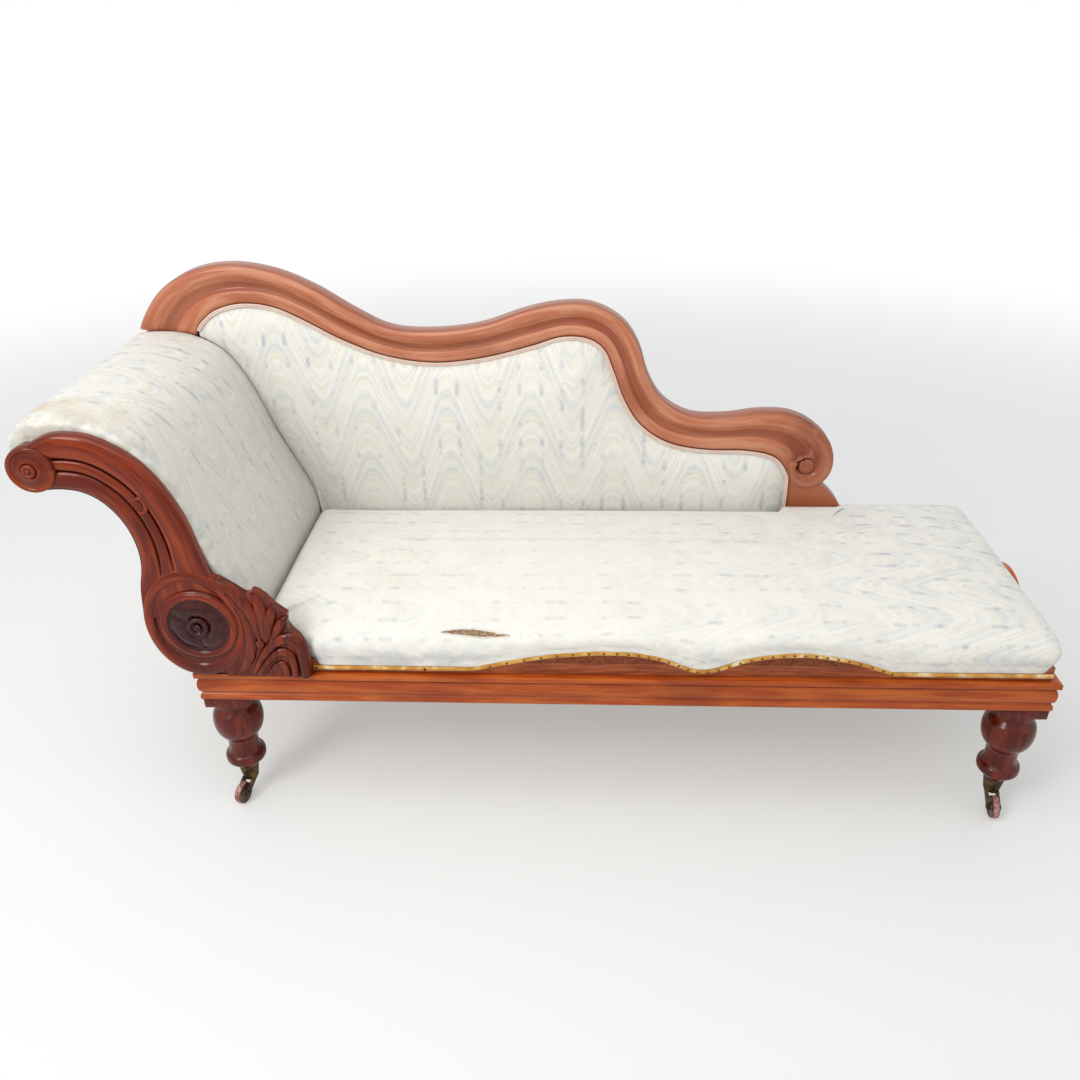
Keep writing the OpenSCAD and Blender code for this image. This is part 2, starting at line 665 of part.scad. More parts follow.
// Padded back: bounded by the crest above, the arm at the left and the frame below
panel_gap = 0.6;
panel_low = rail_top + over;
panel_x0 = back_x + 0.089 * back_l;
panel_top = [for (p = crest_inner) if (p[0] > panel_x0) [p[0], p[1] - panel_gap]];
panel_left = concat([for (p = arm_layer(-panel_gap)) if (p[0] > 1.1 * roll_c[0] && p[1] > rail_top) p],
    [[arm_foot_x + 2 * panel_gap, panel_low]]);
panel_sill = concat([for (p = panel_left) if (p[0] > panel_x0 - over) p],
    [[arm_foot_x + over, panel_low], [frame_l, panel_low]]);
panel_end = len(panel_top) - 2;
function sill(x) = lookup(x, sorted_sill);
sorted_sill = [for (i = [0:len(panel_sill) - 1])
    if (i == 0 || panel_sill[i][0] > max([for (k = [0:i - 1]) panel_sill[k][0]])) panel_sill[i]];
crown_shares = [0, 0.07, 0.24, 0.5, 0.76, 0.93, 1];
least_share = 0.1;
rest_y = cove_y - 2 * gap - web_t;

// The panel stays flat for the width of the gimp, then rises to its crown
function steepness(i) =
    let (d = panel_top[min(i + 1, panel_end)] - panel_top[max(i - 1, 0)]) norm(d) / abs(d[0]);
function margin_share(i) = min(0.3,
    (gimp_w + gap) * steepness(i) / (panel_top[i][1] - sill(panel_top[i][0])));
function crown_at(i, t) = back_crown * (1 - pow(2 * t - 1, 4))
    * min(1, (i + 0.5) / 5, (panel_end - i + 0.5) / 4);
function panel_point(i, u, y) = [panel_top[i][0], y, mix(sill(panel_top[i][0]), panel_top[i][1], u)];
function panel_curve(i, inset, y) = [
    for (t = crown_shares)
        panel_point(i, mix(margin_share(i), 1 - margin_share(i), t),
            y - gap / 4 - max(crown_at(i, t) - inset, crown_at(i, t) * least_share))];
cover_t = 9;
cover_y = back_y + gap;
cover_back_y = cover_y + cover_t * 0.3;

module back_cover() color(fabric) place()
    skin([for (i = [0:panel_end])
        concat([panel_point(i, 0, cover_y)], panel_curve(i, 0, cover_y), [panel_point(i, 1, cover_y)],
            [panel_point(i, 1, cover_back_y)], reversed(panel_curve(i, cover_t, cover_back_y)),
            [panel_point(i, 0, cover_back_y)])], band = true);

module back_stuffing() color(hair) place()
    skin([for (i = [4:panel_end - 4])
        let (q = panel_curve(i, cover_t, cover_back_y + gap), n = len(q) - 1)
            concat(q, [[q[0][0], rest_y, q[n][2]], [q[0][0], rest_y, q[0][2]]])], other_way = true);

module panel_sheet(y0, y1) {
    board(concat([for (i = [0:panel_end]) panel_top[i]],
        [for (i = [panel_end:-1:0]) [panel_top[i][0], sill(panel_top[i][0])]]), y0, y1);
}

strap_w = 50;
strap_shares = [0.2, 0.32, 0.44, 0.56, 0.68, 0.82];

module back_webbing() color(hessian) place() intersection() {
    panel_sheet(cove_y - gap - web_t, cove_y - gap);
    union() {
        for (s = strap_shares)
            span([back_x + s * back_l - strap_w / 2, 0, rail_top],
                [back_x + s * back_l + strap_w / 2, frame_d, back_top]);
        for (s = [0.22, 0.45])
            span([back_x, 0, mix(rail_top, back_top, s) - strap_w / 2],
                [frame_l, frame_d, mix(rail_top, back_top, s) + strap_w / 2]);
    }
}

stay_w = 40;
stay_t = 32;
stay_shares = [0.4, 0.66];
back_rail_h = 50;

module stay_cut() crest_ribbon(0, 1, back_y - over, frame_d + over);

module back_stays() color(raw_wood) place() difference() {
    for (s = stay_shares)
        span([back_x + s * back_l - stay_w / 2, cove_y, rail_top + back_rail_h + gap],
            [back_x + s * back_l + stay_w / 2, cove_y + stay_t, back_top]);
    stay_cut();
    board(concat(crest_outer, [[crest_foot_x, 2 * back_top], [-2 * arm_reach, 2 * back_top]]),
        back_y - over, frame_d + over);
}

module back_bottom_rail() color(raw_wood) place()
    span([arm_side_x - crest_relief + gap, cove_y, rail_top + gap],
        [crest_line([foot_shares[2]])[0][0] - gap, cove_y + stay_t, rail_top + back_rail_h]);

module back_outside() color(fabric) place()
    panel_sheet(cove_y + stay_t + gap, cove_y + stay_t + gap + cloth_t);

// Gimp along the inner edge of the crest
gimp_t = 4;
gimp_line = [for (p = crest_inner) if (p[0] > panel_x0) p];

module back_gimp() color(fabric) place()
    board(concat(beside(gimp_line, -panel_gap), reversed(beside(gimp_line, -gimp_w))),
        back_y - gimp_t, back_y);

// Seat: webbing under the rails, springs, hessian, horsehair and the padded cover
web_z = rail_z - web_t;
strap_rows = 4;
strap_columns = 11;
web_x0 = 2 * block_in + block_w + strap_w / 2;
web_y0 = mould_t + rail_t / 2;

module seat_webbing() color(hessian) place() {
    for (i = [0:strap_columns - 1])
        let (x = mix(web_x0, frame_l - web_x0, i / (strap_columns - 1)))
            span([x - strap_w / 2, web_y0, web_z - gap], [x + strap_w / 2, frame_d - web_y0, rail_z - gap]);
    for (i = [0:strap_rows - 1])
        let (y = mix(web_x0, frame_d - web_x0, i / (strap_rows - 1)))
            span([web_y0, y - strap_w / 2, web_z - gap],
                [frame_l - web_y0, y + strap_w / 2, rail_z - gap]);
}

seat_x0 = arm_side_x + gap;
tray_in = 22;
tray_slope_share = 0.8;
spring_rise = 26;
spring_top = rail_top + spring_rise;
spring_columns = 8;
spring_rows = 3;
spring_wall = 4;
spring_waist_share = 0.62;
spring_x0 = seat_x0 + tray_in + spring_r;
spring_x1 = foot_x - rail_t - 0.6 * brace_w - spring_r;
spring_y0 = mould_t + tray_in + tray_slope_share * spring_rise + spring_wall + spring_r;
spring_y1 = back_y - 1.5 * back_crown - spring_r;
function spring_x(i) = mix(spring_x0, spring_x1, i / (spring_columns - 1));
function spring_y(i) = mix(spring_y0, spring_y1, i / (spring_rows - 1));

module spring() rotate_extrude($fn = 32) polygon([[spring_r - spring_wall, 0], [spring_r, 0],
    [spring_r * spring_waist_share, (spring_top - rail_z) / 2], [spring_r, spring_top - rail_z],
    [spring_r - spring_wall, spring_top - rail_z],
    [spring_r * spring_waist_share - spring_wall, (spring_top - rail_z) / 2]]);

module seat_springs() color(brass) place()
    for (i = [0:spring_columns - 1], row = [0:spring_rows - 1])
        translate([spring_x(i), spring_y(row), rail_z]) spring();

// Levels of the seat's soft edge and crown, as shares of its height and of half its depth
seat_out = 6;
corner_r = 22;
seat_level_shares = [0, 0.12, 0.3, 0.45, 0.58, 0.7, 0.8, 0.9, 0.97, 1];
seat_inset_shares = [0.023, 0.019, 0.004, 0, 0.015, 0.06, 0.16, 0.36, 0.63, 0.88];
skirt_low = mould_top + skirt_z;
half_d = frame_d / 2;

function plan_ring(x0, x1, y0, y1, r, z) = [
    for (turn = [0:3], a = [0:15:90])
        let (x = turn == 0 || turn == 3 ? x1 - r : x0 + r, y = turn < 2 ? y1 - r : y0 + r)
            [x + r * cos(90 * turn + a), y + r * sin(90 * turn + a), z]];
function seat_ring(level, inset) =
    let (y0 = mould_t - skirt_t - seat_out + inset, y1 = frame_d - inset)
        plan_ring(0, foot_x + skirt_t + seat_out - inset, y0, y1,
            min(corner_r + inset / 2, (y1 - y0) * 0.46), mix(skirt_low, seat_top, level));
function tray_ring(grow, z) =
    let (inset = tray_in + tray_slope_share * (z - rail_top) - grow)
        plan_ring(seat_x0 - corner_r, foot_x - inset, mould_t + inset, back_y + back_crown / 2 - inset,
            corner_r, z);

hessian_t = 1.5;
tray_top = spring_top + gap;
hair_top = mix(tray_top, seat_top, 0.55);

module tray(grow, z0, z1) intersection() {
    skin([tray_ring(grow, z0), tray_ring(grow, z1)]);
    span([seat_x0 + gap, 0, 0], [frame_l, frame_d, 2 * seat_top]);
}

module seat_hessian() color(hessian) place() difference() {
    tray(0, rail_top + gap, tray_top + hessian_t);
    tray(-hessian_t, rail_top - gap, tray_top);
}

module seat_stuffing() color(hair) place() difference() {
    tray(2, rail_top + gap, hair_top);
    tray(gap, rail_top - over, tray_top + hessian_t + gap);
}

// Lower edge of the cover along the front rail, with its two lifted scallops
scallop_shares = [[0.33, 0], [0.41, 0.72], [0.49, 1], [0.545, 0.72], [0.596, 0], [0.65, 0.72],
    [0.704, 1], [0.76, 0.72], [0.814, 0]];
edge_line = concat([[0, skirt_low]],
    smooth(spread(scallop_shares, [0, skirt_low], [frame_l, scallop_h]), 3),
    [[foot_x + skirt_t, skirt_low]]);

module rail_block() span([mould_t - gap, mould_t - gap, rail_z],
    [foot_x + gap, frame_d + over, rail_top + gap]);

module back_notch() {
    span([0, back_y - back_crown - gap, rail_z], [panel_top[panel_end][0] + gap, 2 * frame_d, back_top]);
    span([0, back_y - gap, rail_z], [crest_foot_x + gap, 2 * frame_d, back_top]);
}

module seat_cover() color(fabric) place() difference() {
    skin([for (i = [0:len(seat_level_shares) - 1])
        seat_ring(seat_level_shares[i], half_d * seat_inset_shares[i])]);
    rail_block();
    tray(2 + gap, rail_top - over, hair_top + gap);
    back_notch();
    span([-over, -frame_d, 0], [seat_x0, 2 * frame_d, back_top]);
    span([-over, -frame_d, 0], [facing_w * 0.99, mould_t, 2 * seat_top]);
    board(concat([[-over, skirt_low - over]], [for (p = edge_line) [p[0], p[1] + tape_w + gap]],
        [[foot_x + skirt_t, skirt_low - over]]), -over, mould_t);
    span([foot_x, -over, rail_z], [frame_l, frame_d + over, skirt_low + tape_w + gap]);
    foot_arch(gap, over);
}

// Ochre tape along that edge and along the foot rail
tape_t = 1.5;
tape_x0 = facing_w;
tape_line = concat([[tape_x0, skirt_low]], [for (p = edge_line) if (p[0] > tape_x0 && p[0] < foot_x) p],
    [[foot_x + gap + tape_t, skirt_low]]);

module seat_tape() color(ochre) place() difference() {
    union() {
        board(concat(tape_line, reversed([for (p = tape_line) [p[0], p[1] + tape_w]])),
            mould_t - gap - tape_t, mould_t - gap);
        span([foot_x + gap, mould_t - gap - tape_t, skirt_low],
            [foot_x + gap + tape_t, frame_d, skirt_low + tape_w]);
    }
    foot_arch(gap, over);
}

tack_r = 2.6;
tack_h = 1.2;
tack_every = 2;
tack_line = smooth(concat([[tape_x0 + tape_w / 2, skirt_low]],
    [for (p = tape_line) if (p[0] > tape_x0 && p[0] < foot_x) p]), 3);

module seat_tacks() color(dark_wood) place()
    for (i = [0:tack_every:len(tack_line) - tack_every])
        translate([tack_line[i][0], mould_t - gap - tape_t, tack_line[i][1] + tape_w / 2])
            rotate([90, 0, 0]) cylinder(h = tack_h, r = tack_r, $fn = 16);

// Bottoming cloth tacked under the rails, cut round the leg blocks
cloth_in = 6;
cloth_cut = block_in + block_w + gap;

module bottom_cloth() color(hessian) place() difference() {
    span([mould_t + cloth_in, mould_t + cloth_in, web_z - 2 * gap - cloth_t],
        [foot_x - cloth_in, frame_d - cloth_in, web_z - 2 * gap]);
    for (site = leg_sites)
        span([site[0] - block_w / 2 - gap, site[1] - block_w / 2 - gap, 0],
            [site[0] + block_w / 2 + gap, site[1] + block_w / 2 + gap, rail_z]);
}

front_rail();
back_rail();
head_rail();
foot_rail();
corner_blocks();
spring_bars();
front_moulding();
foot_moulding();
head_moulding();
foot_crest();
leg_front_left();
leg_front_right();
leg_back_left();
leg_back_right();
cup_front_left();
cup_front_right();
cup_back_left();
cup_back_right();
horn_front_left();
horn_front_right();
horn_back_left();
horn_back_right();
axle_front_left();
axle_front_right();
axle_back_left();
axle_back_right();
wheel_front_left();
wheel_front_right();
wheel_back_left();
wheel_back_right();
arm_facing();
arm_patera();
arm_roundel();
arm_leaf();
arm_front_post();
arm_back_post();
arm_top_rail();
arm_mid_rail();
arm_low_rail();
arm_webbing();
arm_stuffing();
arm_cover();
arm_outside();
crest_rail();
back_stays();
back_bottom_rail();
back_webbing();
back_stuffing();
back_cover();
back_outside();
back_gimp();
seat_webbing();
seat_springs();
seat_hessian();
seat_stuffing();
seat_cover();
seat_tape();
seat_tacks();
bottom_cloth();
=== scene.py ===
import math

import bmesh
import bpy
from mathutils import Matrix, Vector, kdtree, noise
from mathutils.bvhtree import BVHTree


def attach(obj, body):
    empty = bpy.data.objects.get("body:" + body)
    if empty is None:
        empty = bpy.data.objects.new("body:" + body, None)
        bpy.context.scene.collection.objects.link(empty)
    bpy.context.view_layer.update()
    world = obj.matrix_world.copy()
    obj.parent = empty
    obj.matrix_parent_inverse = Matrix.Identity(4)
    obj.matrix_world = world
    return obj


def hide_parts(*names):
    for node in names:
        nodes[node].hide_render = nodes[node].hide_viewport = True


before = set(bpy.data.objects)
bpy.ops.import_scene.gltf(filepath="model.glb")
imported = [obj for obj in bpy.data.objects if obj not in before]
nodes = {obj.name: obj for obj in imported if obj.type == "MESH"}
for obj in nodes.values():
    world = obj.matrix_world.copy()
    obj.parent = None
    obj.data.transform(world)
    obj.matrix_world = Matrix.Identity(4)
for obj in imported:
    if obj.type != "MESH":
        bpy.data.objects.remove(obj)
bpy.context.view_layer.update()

# The room: a pale floor and a white background, with soft light from above and from the front left.
# The camera stands where the photographer stood, in front of the couch and above it.


corner_x, corner_y = 646, 257.5


def at(x, y, z):
    """A point measured in millimetres from the seat frame's left front corner, as the frame's metres."""
    return Vector(((x - corner_x) / 1000, (y - corner_y) / 1000, z / 1000))


def measured(p):
    """A point of the frame, measured in millimetres from the seat frame's left front corner."""
    return p.x * 1000 + corner_x, p.y * 1000 + corner_y, p.z * 1000


class Val:
    """A value in a material's node tree that can be used in sums."""

    def __init__(self, tree, socket):
        self.tree = tree
        self.socket = socket

    def sum(self, operation, *parts, clamp=False):
        return node(self.tree, "ShaderNodeMath", {"operation": operation, "use_clamp": clamp}, parts)

    def __add__(self, other):
        return self.sum("ADD", self, other)

    def __radd__(self, other):
        return self.sum("ADD", other, self)

    def __sub__(self, other):
        return self.sum("SUBTRACT", self, other)

    def __rsub__(self, other):
        return self.sum("SUBTRACT", other, self)

    def __mul__(self, other):
        return self.sum("MULTIPLY", self, other)

    def __rmul__(self, other):
        return self.sum("MULTIPLY", other, self)

    def __truediv__(self, other):
        return self.sum("DIVIDE", self, other)

    def __abs__(self):
        return self.sum("ABSOLUTE", self)

    def fract(self):
        return self.sum("FRACT", self)

    def floor(self):
        return self.sum("FLOOR", self)

    def sine(self):
        return self.sum("SINE", self)

    def low(self, other):
        return self.sum("MINIMUM", self, other)

    def high(self, other):
        return self.sum("MAXIMUM", self, other)

    def clipped(self):
        return self.sum("ADD", self, 0.0, clamp=True)

    def step(self, start, end):
        """0 below start, 1 above end, and smooth between them."""
        return node(self.tree, "ShaderNodeMapRange", {"interpolation_type": "SMOOTHSTEP"},
                    (self, start, end, 0.0, 1.0))


def node(tree, kind, settings, values, output=0):
    """Adds a node: its settings first, then its inputs by place or by name, as numbers or links."""
    made = tree.nodes.new(kind)
    for key, value in settings.items():
        setattr(made, key, value)
    pairs = values.items() if isinstance(values, dict) else enumerate(values)
    for key, value in pairs:
        if isinstance(value, Val):
            tree.links.new(value.socket, made.inputs[key])
        else:
            made.inputs[key].default_value = value
    return Val(tree, made.outputs[output])


def rgb(r, g, b):
    """A colour given as 0 to 255 in sRGB, as Blender's linear one."""
    return tuple(((c / 255 + 0.055) / 1.055) ** 2.4 if c > 10 else c / 3295 for c in (r, g, b)) + (1.0,)


def blended(tree, share, first, second):
    """A colour between two others."""
    return node(tree, "ShaderNodeMix", {"data_type": "RGBA"}, {0: share, 6: first, 7: second}, 2)


def material(name):
    """A new material and its tree, with the shader as the tree's own node named Skin."""
    made = bpy.data.materials.new(name)
    made.use_nodes = True
    tree = made.node_tree
    tree.nodes["Principled BSDF"].name = "Skin"
    return made, tree


def dress(tree, **inputs):
    """Sets or links the shader's inputs; a space in an input's name is written as an underscore."""
    shader = tree.nodes["Skin"]
    for key, value in inputs.items():
        socket = shader.inputs[key.replace("_", " ")]
        if isinstance(value, Val):
            tree.links.new(value.socket, socket)
        else:
            socket.default_value = value


def bumped(tree, height, strength, distance):
    """A normal that a height bumps."""
    return node(tree, "ShaderNodeBump", {}, {"Height": height, "Strength": strength, "Distance": distance})


def axes(tree, vector):
    """The three parts of a vector."""
    parts = tree.nodes.new("ShaderNodeSeparateXYZ")
    tree.links.new(vector.socket, parts.inputs[0])
    return [Val(tree, parts.outputs[i]) for i in range(3)]


def vector(tree, x, y, z):
    return node(tree, "ShaderNodeCombineXYZ", {}, (x, y, z))


def specks(tree, place, scale, detail=2.0, roughness=0.5, distortion=0.0):
    """Noise from 0 to 1."""
    return node(tree, "ShaderNodeTexNoise", {}, {"Vector": place, "Scale": scale, "Detail": detail,
                "Roughness": roughness, "Distortion": distortion})


def here(tree):
    """The place on a piece, in metres."""
    return node(tree, "ShaderNodeTexCoord", {}, {}, "Object")


floor_size = 60
floor_paint, tree = material("floor_paint")
dress(tree, Base_Color=rgb(246, 246, 244), Roughness=0.95, Specular_IOR_Level=0.1)
bpy.ops.mesh.primitive_plane_add(size=floor_size)
floor = bpy.context.object
floor.name = "floor"
floor.data.materials.append(floor_paint)
path = tree.nodes.new("ShaderNodeLightPath")
x, y, z = axes(tree, here(tree))
far_off = ((x * x + y * y).step(1.0, 20.0) * 0.75 + 0.25) * Val(tree, path.outputs["Is Camera Ray"])
haze = tree.nodes.new("ShaderNodeEmission")
fade = tree.nodes.new("ShaderNodeMixShader")
tree.links.new(far_off.socket, fade.inputs[0])
tree.links.new(tree.nodes["Skin"].outputs[0], fade.inputs[1])
tree.links.new(haze.outputs[0], fade.inputs[2])
tree.links.new(fade.outputs[0], tree.nodes["Material Output"].inputs[0])

room_light = 0.62
world = bpy.data.worlds.new("room")
bpy.context.scene.world = world
world.use_nodes = True
tree = world.node_tree
tree.nodes.clear()
path = tree.nodes.new("ShaderNodeLightPath")
seen = tree.nodes.new("ShaderNodeBackground")
seen.inputs[0].default_value = (1, 1, 1, 1)
seen.inputs[1].default_value = 1
lit = tree.nodes.new("ShaderNodeBackground")
lit.inputs[0].default_value = (0.97, 0.985, 1, 1)
lit.inputs[1].default_value = room_light
either = tree.nodes.new("ShaderNodeMixShader")
out = tree.nodes.new("ShaderNodeOutputWorld")
looked_at = (Val(tree, path.outputs["Is Camera Ray"]) + Val(tree, path.outputs["Is Glossy Ray"])
             + Val(tree, path.outputs["Is Transmission Ray"])).clipped()
tree.links.new(looked_at.socket, either.inputs[0])
tree.links.new(lit.outputs[0], either.inputs[1])
tree.links.new(seen.outputs[0], either.inputs[2])
tree.links.new(either.outputs[0], out.inputs[0])

for name, place, aim, size, power in (
        ("sky_light", (-0.5, -1.0, 3.1), (0, 0, 0.4), 2.2, 28),
        ("window_light", (-1.9, -2.2, 2.5), (0, 0, 0.5), 1.0, 34)):
    lamp = bpy.data.lights.new(name, "AREA")
    lamp.size = size
    lamp.energy = power
    lamp_object = bpy.data.objects.new(name, lamp)
    bpy.context.scene.collection.objects.link(lamp_object)
    lamp_object.location = place
    lamp_object.rotation_euler = (Vector(place) - Vector(aim)).to_track_quat("Z", "Y").to_euler()

camera_place = (0.047, -1.5855, 1.341)
pitch = math.radians(29.2)
yaw = math.radians(-2.9)
roll = math.radians(-1.03)
gaze = Vector((math.sin(yaw) * math.cos(pitch), math.cos(yaw) * math.cos(pitch), -math.sin(pitch)))
level = Vector((math.cos(yaw), -math.sin(yaw), 0))
upright = level.cross(gaze)
right = level * math.cos(roll) + upright * math.sin(roll)
up = upright * math.cos(roll) - level * math.sin(roll)
lens = bpy.data.cameras.new("camera")
lens.sensor_width = 36
lens.lens = 31.5
camera = bpy.data.objects.new("camera", lens)
bpy.context.scene.collection.objects.link(camera)
camera.matrix_world = Matrix.Translation(camera_place) @ Matrix((right, up, -gaze)).transposed().to_4x4()
bpy.context.scene.camera = camera
bpy.context.scene.view_settings.view_transform = "Standard"

# The seat frame: sawn rails, corner blocks and bars of a pale hardwood, tenoned and glued, with the
# posts and rails of the arm and the stays of the back. Only its edges show, from behind and below.


def raw_wood():
    made, tree = material("raw_wood")
    x, y, z = axes(tree, here(tree))
    grain = specks(tree, vector(tree, x * 6, y * 40, z * 40), 4, 4, 0.6)
    blotch = specks(tree, here(tree), 9, 2)
    tone = blended(tree, grain.step(0.35, 0.7), rgb(150, 105, 66), rgb(184, 140, 96))
    tone = blended(tree, blotch.step(0.45, 0.75) * 0.5, tone, rgb(112, 74, 46))
    dress(tree, Base_Color=tone, Roughness=0.75, Normal=bumped(tree, grain, 0.25, 0.002))
    return made


def finished(name, finish):
    """Gives a piece of the frame its finish."""
    for place in nodes[name].material_slots:
        place.material = finish


sawn = raw_wood()
for name in ("back_rail", "head_rail", "foot_rail", "corner_blocks", "spring_bars", "arm_back_post",
             "arm_top_rail", "arm_mid_rail", "arm_low_rail", "back_stays", "back_bottom_rail"):
    finished(name, sawn)

# The mouldings: mahogany planed to one section, a band with a groove over it, a torus, a groove and
# a bead, run along the foot, the front and the head of the frame and mitred at its front corners.


def uvs(tree):
    """The place on a piece's own UVs, in metres, as its two parts."""
    return axes(tree, node(tree, "ShaderNodeTexCoord", {}, {}, "UV"))[:2]


def polish(name, dark, mid, light, along, gloss, shade=None):
    """French polished mahogany whose grain runs along an axis of the piece, or along its UVs for 'run',
    darkened in its recesses as painted shade.
    """
    made, tree = material(name)
    x, y, z = axes(tree, here(tree))
    stretch = {"x": (0.1, 1, 1), "y": (1, 0.1, 1), "z": (1, 1, 0.1)}
    if along == "run":
        u, v = uvs(tree)
        place = vector(tree, u * 0.1, v, y)
    else:
        a, b, c = stretch[along]
        place = vector(tree, x * a, y * b, z * c)
    figure = specks(tree, place, 75, 3, 0.55, 0.3)
    pores = specks(tree, place, 420, 2, 0.6)
    cloud = specks(tree, here(tree), 7, 2, 0.5)
    tone = blended(tree, figure.step(0.38, 0.66), mid, light)
    tone = blended(tree, cloud.step(0.45, 0.75) * 0.4, tone, dark)
    tone = blended(tree, pores.step(0.62, 0.78) * 0.45, tone, dark)
    # Painted shade: the tone goes to the dark one where ambient occlusion finds a recess.
    recess_shade = node(tree, "ShaderNodeAmbientOcclusion", {"samples": 4}, {"Distance": 0.012}, "AO")
    tone = blended(tree, 1 - recess_shade.step(0.25, 0.85), tone, dark)
    # Painted shade: the shade function gives a share of the dark tone, such as in the crest's cove.
    if shade:
        tone = blended(tree, shade(x, y, z), tone, dark)
    dress(tree, Base_Color=tone, Roughness=gloss + figure * 0.12, Coat_Weight=0.3, Coat_Roughness=0.1,
          Specular_IOR_Level=0.15, Normal=bumped(tree, pores, 0.06, 0.0006))
    return made


def piece(name, mesh, finish, slot, *replaced, smooth=40.0, body="couch"):
    """Makes an object of a bmesh: shaded smooth up to an angle, with its finish, riding on its body."""
    data = bpy.data.meshes.new(name)
    mesh.to_mesh(data)
    mesh.free()
    made = bpy.data.objects.new(name + "_visual" if name in nodes else name, data)
    bpy.context.scene.collection.objects.link(made)
    data.materials.append(finish)
    data.shade_smooth()
    data.set_sharp_from_angle(angle=math.radians(smooth))
    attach(made, body)
    if replaced:
        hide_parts(*replaced)
    return made


def lofted(rings, closed=True, capped=True):
    """A skin over rings of points, with UVs in metres along the run and round the ring."""
    mesh = bmesh.new()
    uv = mesh.loops.layers.uv.new("UVMap")
    rows = [[mesh.verts.new(p) for p in ring] for ring in rings]
    run = [0.0]
    for a, b in zip(rings, rings[1:]):
        run.append(run[-1] + sum((Vector(q) - Vector(p)).length for p, q in zip(a, b)) / len(a))
    middle = rings[len(rings) // 2]
    round_it = [0.0]
    for p, q in zip(middle, middle[1:] + middle[:1]):
        round_it.append(round_it[-1] + (Vector(q) - Vector(p)).length)
    count = len(rings[0])
    for i in range(len(rows) - 1):
        for j in range(count if closed else count - 1):
            k = (j + 1) % count
            face = mesh.faces.new((rows[i][j], rows[i][k], rows[i + 1][k], rows[i + 1][j]))
            for loop, place in zip(face.loops, ((run[i], round_it[j]), (run[i], round_it[j + 1]),
                                                (run[i + 1], round_it[j + 1]), (run[i + 1], round_it[j]))):
                loop[uv].uv = place
    if capped:
        mesh.faces.new(list(reversed(rows[0])))
        mesh.faces.new(rows[-1])
    return mesh


def bulge(depth, proud, middle, half, turns):
    """A rounded member of a moulding: its depth, how proud it stands, its middle and its half height."""
    return [(depth - proud * math.cos(math.radians(turn)), middle + half * math.sin(math.radians(turn)))
            for turn in turns]


frame_length, frame_depth = 1520, 535
moulding_tones = (rgb(100, 28, 6), rgb(166, 68, 18), rgb(192, 96, 34))
mahogany_x = polish("mahogany_x", *moulding_tones, "x", 0.26)
mahogany_y = polish("mahogany_y", *moulding_tones, "y", 0.26)
bead = bulge(7, 3.6, 264.5, 7.3, range(-70, 71, 10))
torus = bulge(7, 5, 290, 14.6, range(-80, 81, 8))
band = [(6.6, 307.2), (5, 307.9), (0.9, 308), (0.3, 308.3), (0, 309), (0, 317.8), (0.4, 318.7), (1.3, 319)]
profile = [(14, 257)] + bead + [(7, 272.4), (7, 274.6)] + torus + [(7, 305)] + band + [(14, 319)]


def moulding(name, start, end, out, mitres, finish):
    """A moulding between two corners. Out is the way it faces, and mitres say which ends are mitred."""
    run = (end - start).normalized()
    length = (end - start).length
    rings = []
    for share in (0.0, 0.25, 0.5, 0.75, 1.0):
        slant = (mitres[0] * (1 - share) - mitres[1] * share) / 1000
        rings.append([start + run * (length * share + slant * d) - out * (d / 1000) + Vector((0, 0, h / 1000))
                      for d, h in profile])
    mesh = lofted(rings)
    bmesh.ops.recalc_face_normals(mesh, faces=mesh.faces)
    return piece(name, mesh, finish, "mahogany", name, smooth=32)


left_corner, right_corner = at(0, 0, 0), at(frame_length, 0, 0)
left_end, right_end = at(0, frame_depth, 0), at(frame_length, frame_depth, 0)
moulding("front_moulding", left_corner, right_corner, Vector((0, -1, 0)), (1, 1), mahogany_x)
moulding("head_moulding", left_corner, left_end, Vector((-1, 0, 0)), (1, 0), mahogany_y)
moulding("foot_moulding", right_corner, right_end, Vector((1, 0, 0)), (1, 0), mahogany_y)

# The low arched board that stands on the foot moulding, outside the cushion: thin mahogany sawn to an
# arc of a circle, its edges eased, glued to the rail's outer face.


def sawn_board(corners, through, ease=0.0):
    """A board sawn to an outline: through is the way to its far side, and ease rounds its edges."""
    mesh = bmesh.new()
    face = mesh.faces.new([mesh.verts.new(corner) for corner in corners])
    push = bmesh.ops.extrude_face_region(mesh, geom=[face])
    far_side = [v for v in push["geom"] if isinstance(v, bmesh.types.BMVert)]
    bmesh.ops.translate(mesh, verts=far_side, vec=through)
    bmesh.ops.recalc_face_normals(mesh, faces=mesh.faces)
    if ease:
        rims = [e for e in mesh.edges if len(e.link_faces) == 2 and e.calc_face_angle() > 1.0]
        bmesh.ops.bevel(mesh, geom=rims, offset=ease, segments=3, profile=0.5, affect="EDGES", material=-1)
    return mesh


rail_top = 319
board_width, board_height = 182, 74
radius = (board_width ** 2 / 4 + board_height ** 2) / (2 * board_height)
half_span = math.sqrt(radius ** 2 - (radius - board_height) ** 2)
outline = [(-half_span, rail_top)]
for i in range(1, 48):
    y = -half_span + 2 * half_span * i / 48
    outline.append((y, rail_top + board_height - radius + math.sqrt(radius ** 2 - y * y)))
outline.append((half_span, rail_top))
board = sawn_board([at(1519.7, frame_depth / 2 + y, z) for y, z in outline], (-0.0134, 0, 0), 0.002)
piece("foot_crest", board, mahogany_y, "mahogany", "foot_crest", smooth=40)

# The legs: mahogany, turned from the square below a low block: a collar, a cove, a bulb, a neck and a
# ring, with a tapered foot that sits in the castor's cup.


